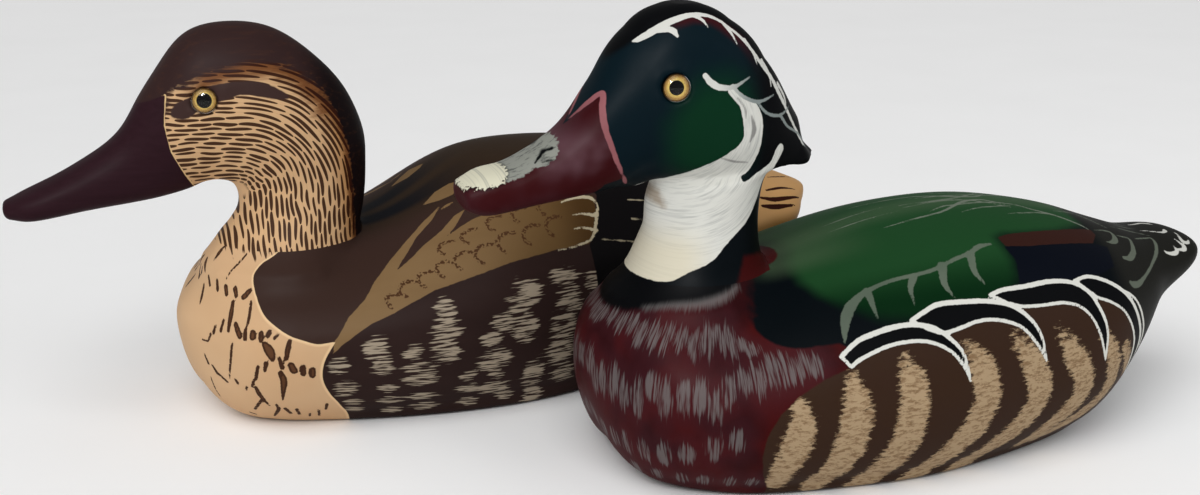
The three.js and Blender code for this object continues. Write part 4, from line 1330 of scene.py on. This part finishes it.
glass = Paint("eye_glass", GLASS_SHINE)
glass.shader.inputs["Base Color"].default_value = (1, 1, 1, 1)
glass.shader.inputs["Roughness"].default_value = GLASS_ROUGHNESS
glass.shader.inputs["IOR"].default_value = GLASS_IOR
glass.shader.inputs["Transmission Weight"].default_value = 1.0
iris = Paint("eye_iris", 0.0)
fibres = iris.cloud(iris.place(), 1.6, 3.0)
gold = iris.over(IRIS_GOLD, IRIS_BROWN, iris.fade("from_centre", 3.0, 4.0))
gold = iris.over(gold, IRIS_FIBRE, iris.ramp(fibres, 0.45, 0.7), 0.5)
gold = iris.over(gold, IRIS_RIM, iris.fade("from_centre", 4.0, 4.7))
iris.put(iris.shader.inputs["Base Color"], gold)
iris.shader.inputs["Roughness"].default_value = PAINT_ROUGHNESS
pupil = Paint("eye_pupil", 0.0)
black = pupil.over(PUPIL_BLACK, PUPIL_SPECK, pupil.cloud(pupil.place(), 2.0))
pupil.put(pupil.shader.inputs["Base Color"], black)
pupil.shader.inputs["Roughness"].default_value = PAINT_ROUGHNESS
for name, (bird, spot, forward, up, pupil_radius) in EYES.items():
    for label, side in (("left", -1), ("right", 1)):
        lens = button(name + "_eye_glass_" + label)
        ring = painted_disc(name + "_iris_" + label, IRIS_RADIUS, IRIS_THICK, -IRIS_DEPTH)
        dot = painted_disc(name + "_pupil_" + label, pupil_radius, PUPIL_THICK, -PUPIL_DEPTH)
        for piece, coat in ((lens, glass), (ring, iris), (dot, pupil)):
            piece.data.transform(eye_matrix(bird, spot, forward, up, side))
            piece.data.update()
            coat.goes_on(piece)
            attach(piece, "root")
        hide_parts(name + "_eye_" + label)

# A plain pale floor and soft studio light from large panels. The window panel is hidden from
# diffuse rays, so it shows only as a reflection, such as the glints in the glass eyes.
FLOOR_SIZE = 8.0
PAPER_WHITE = pigment(251, 251, 251)
PAPER_SHADE = pigment(247, 247, 247)
PAPER_ROUGHNESS = 0.8
ROOM_LIGHT = 0.3
SKY_SPREAD = 60.0
SKY_POWER = 1.75
SKY_AIM = (0.45, 0.55, -0.9)
PANELS = [("key", (-0.75, -0.95, 1.05), 0.7, 4.0), ("fill", (0.85, -0.75, 0.75), 0.8, 2.4),
          ("window", (-0.5, -0.9, 0.72), 0.3, 16.0)]
PANEL_AIM = (0, 0, 0.08)
bpy.ops.object.select_all(action="DESELECT")
bpy.ops.mesh.primitive_plane_add(size=FLOOR_SIZE)
floor = bpy.context.object
floor.name = "floor"
paper = Paint("floor_paper")
paper_colour = paper.over(PAPER_WHITE, PAPER_SHADE, paper.cloud(paper.place(), 0.01))
paper.put(paper.shader.inputs["Base Color"], paper_colour)
paper.shader.inputs["Roughness"].default_value = PAPER_ROUGHNESS
paper.goes_on(floor)
world = bpy.data.worlds.new("studio")
world.use_nodes = True
world.node_tree.nodes["Background"].inputs["Color"].default_value = (1, 1, 1, 1)
world.node_tree.nodes["Background"].inputs["Strength"].default_value = ROOM_LIGHT
bpy.context.scene.world = world


def hung(light, direction):
    lamp = bpy.data.objects.new(light.name, light)
    lamp.rotation_euler = direction.to_track_quat("-Z", "Y").to_euler()
    bpy.context.collection.objects.link(lamp)
    return lamp


sky = bpy.data.lights.new("sky", "SUN")
sky.angle = math.radians(SKY_SPREAD)
sky.energy = SKY_POWER
hung(sky, Vector(SKY_AIM))
for name, where, size, power in PANELS:
    panel = bpy.data.lights.new(name, "AREA")
    panel.size = size
    panel.energy = power
    lamp = hung(panel, Vector(PANEL_AIM) - Vector(where))
    lamp.location = where
    lamp.visible_diffuse = name != "window"
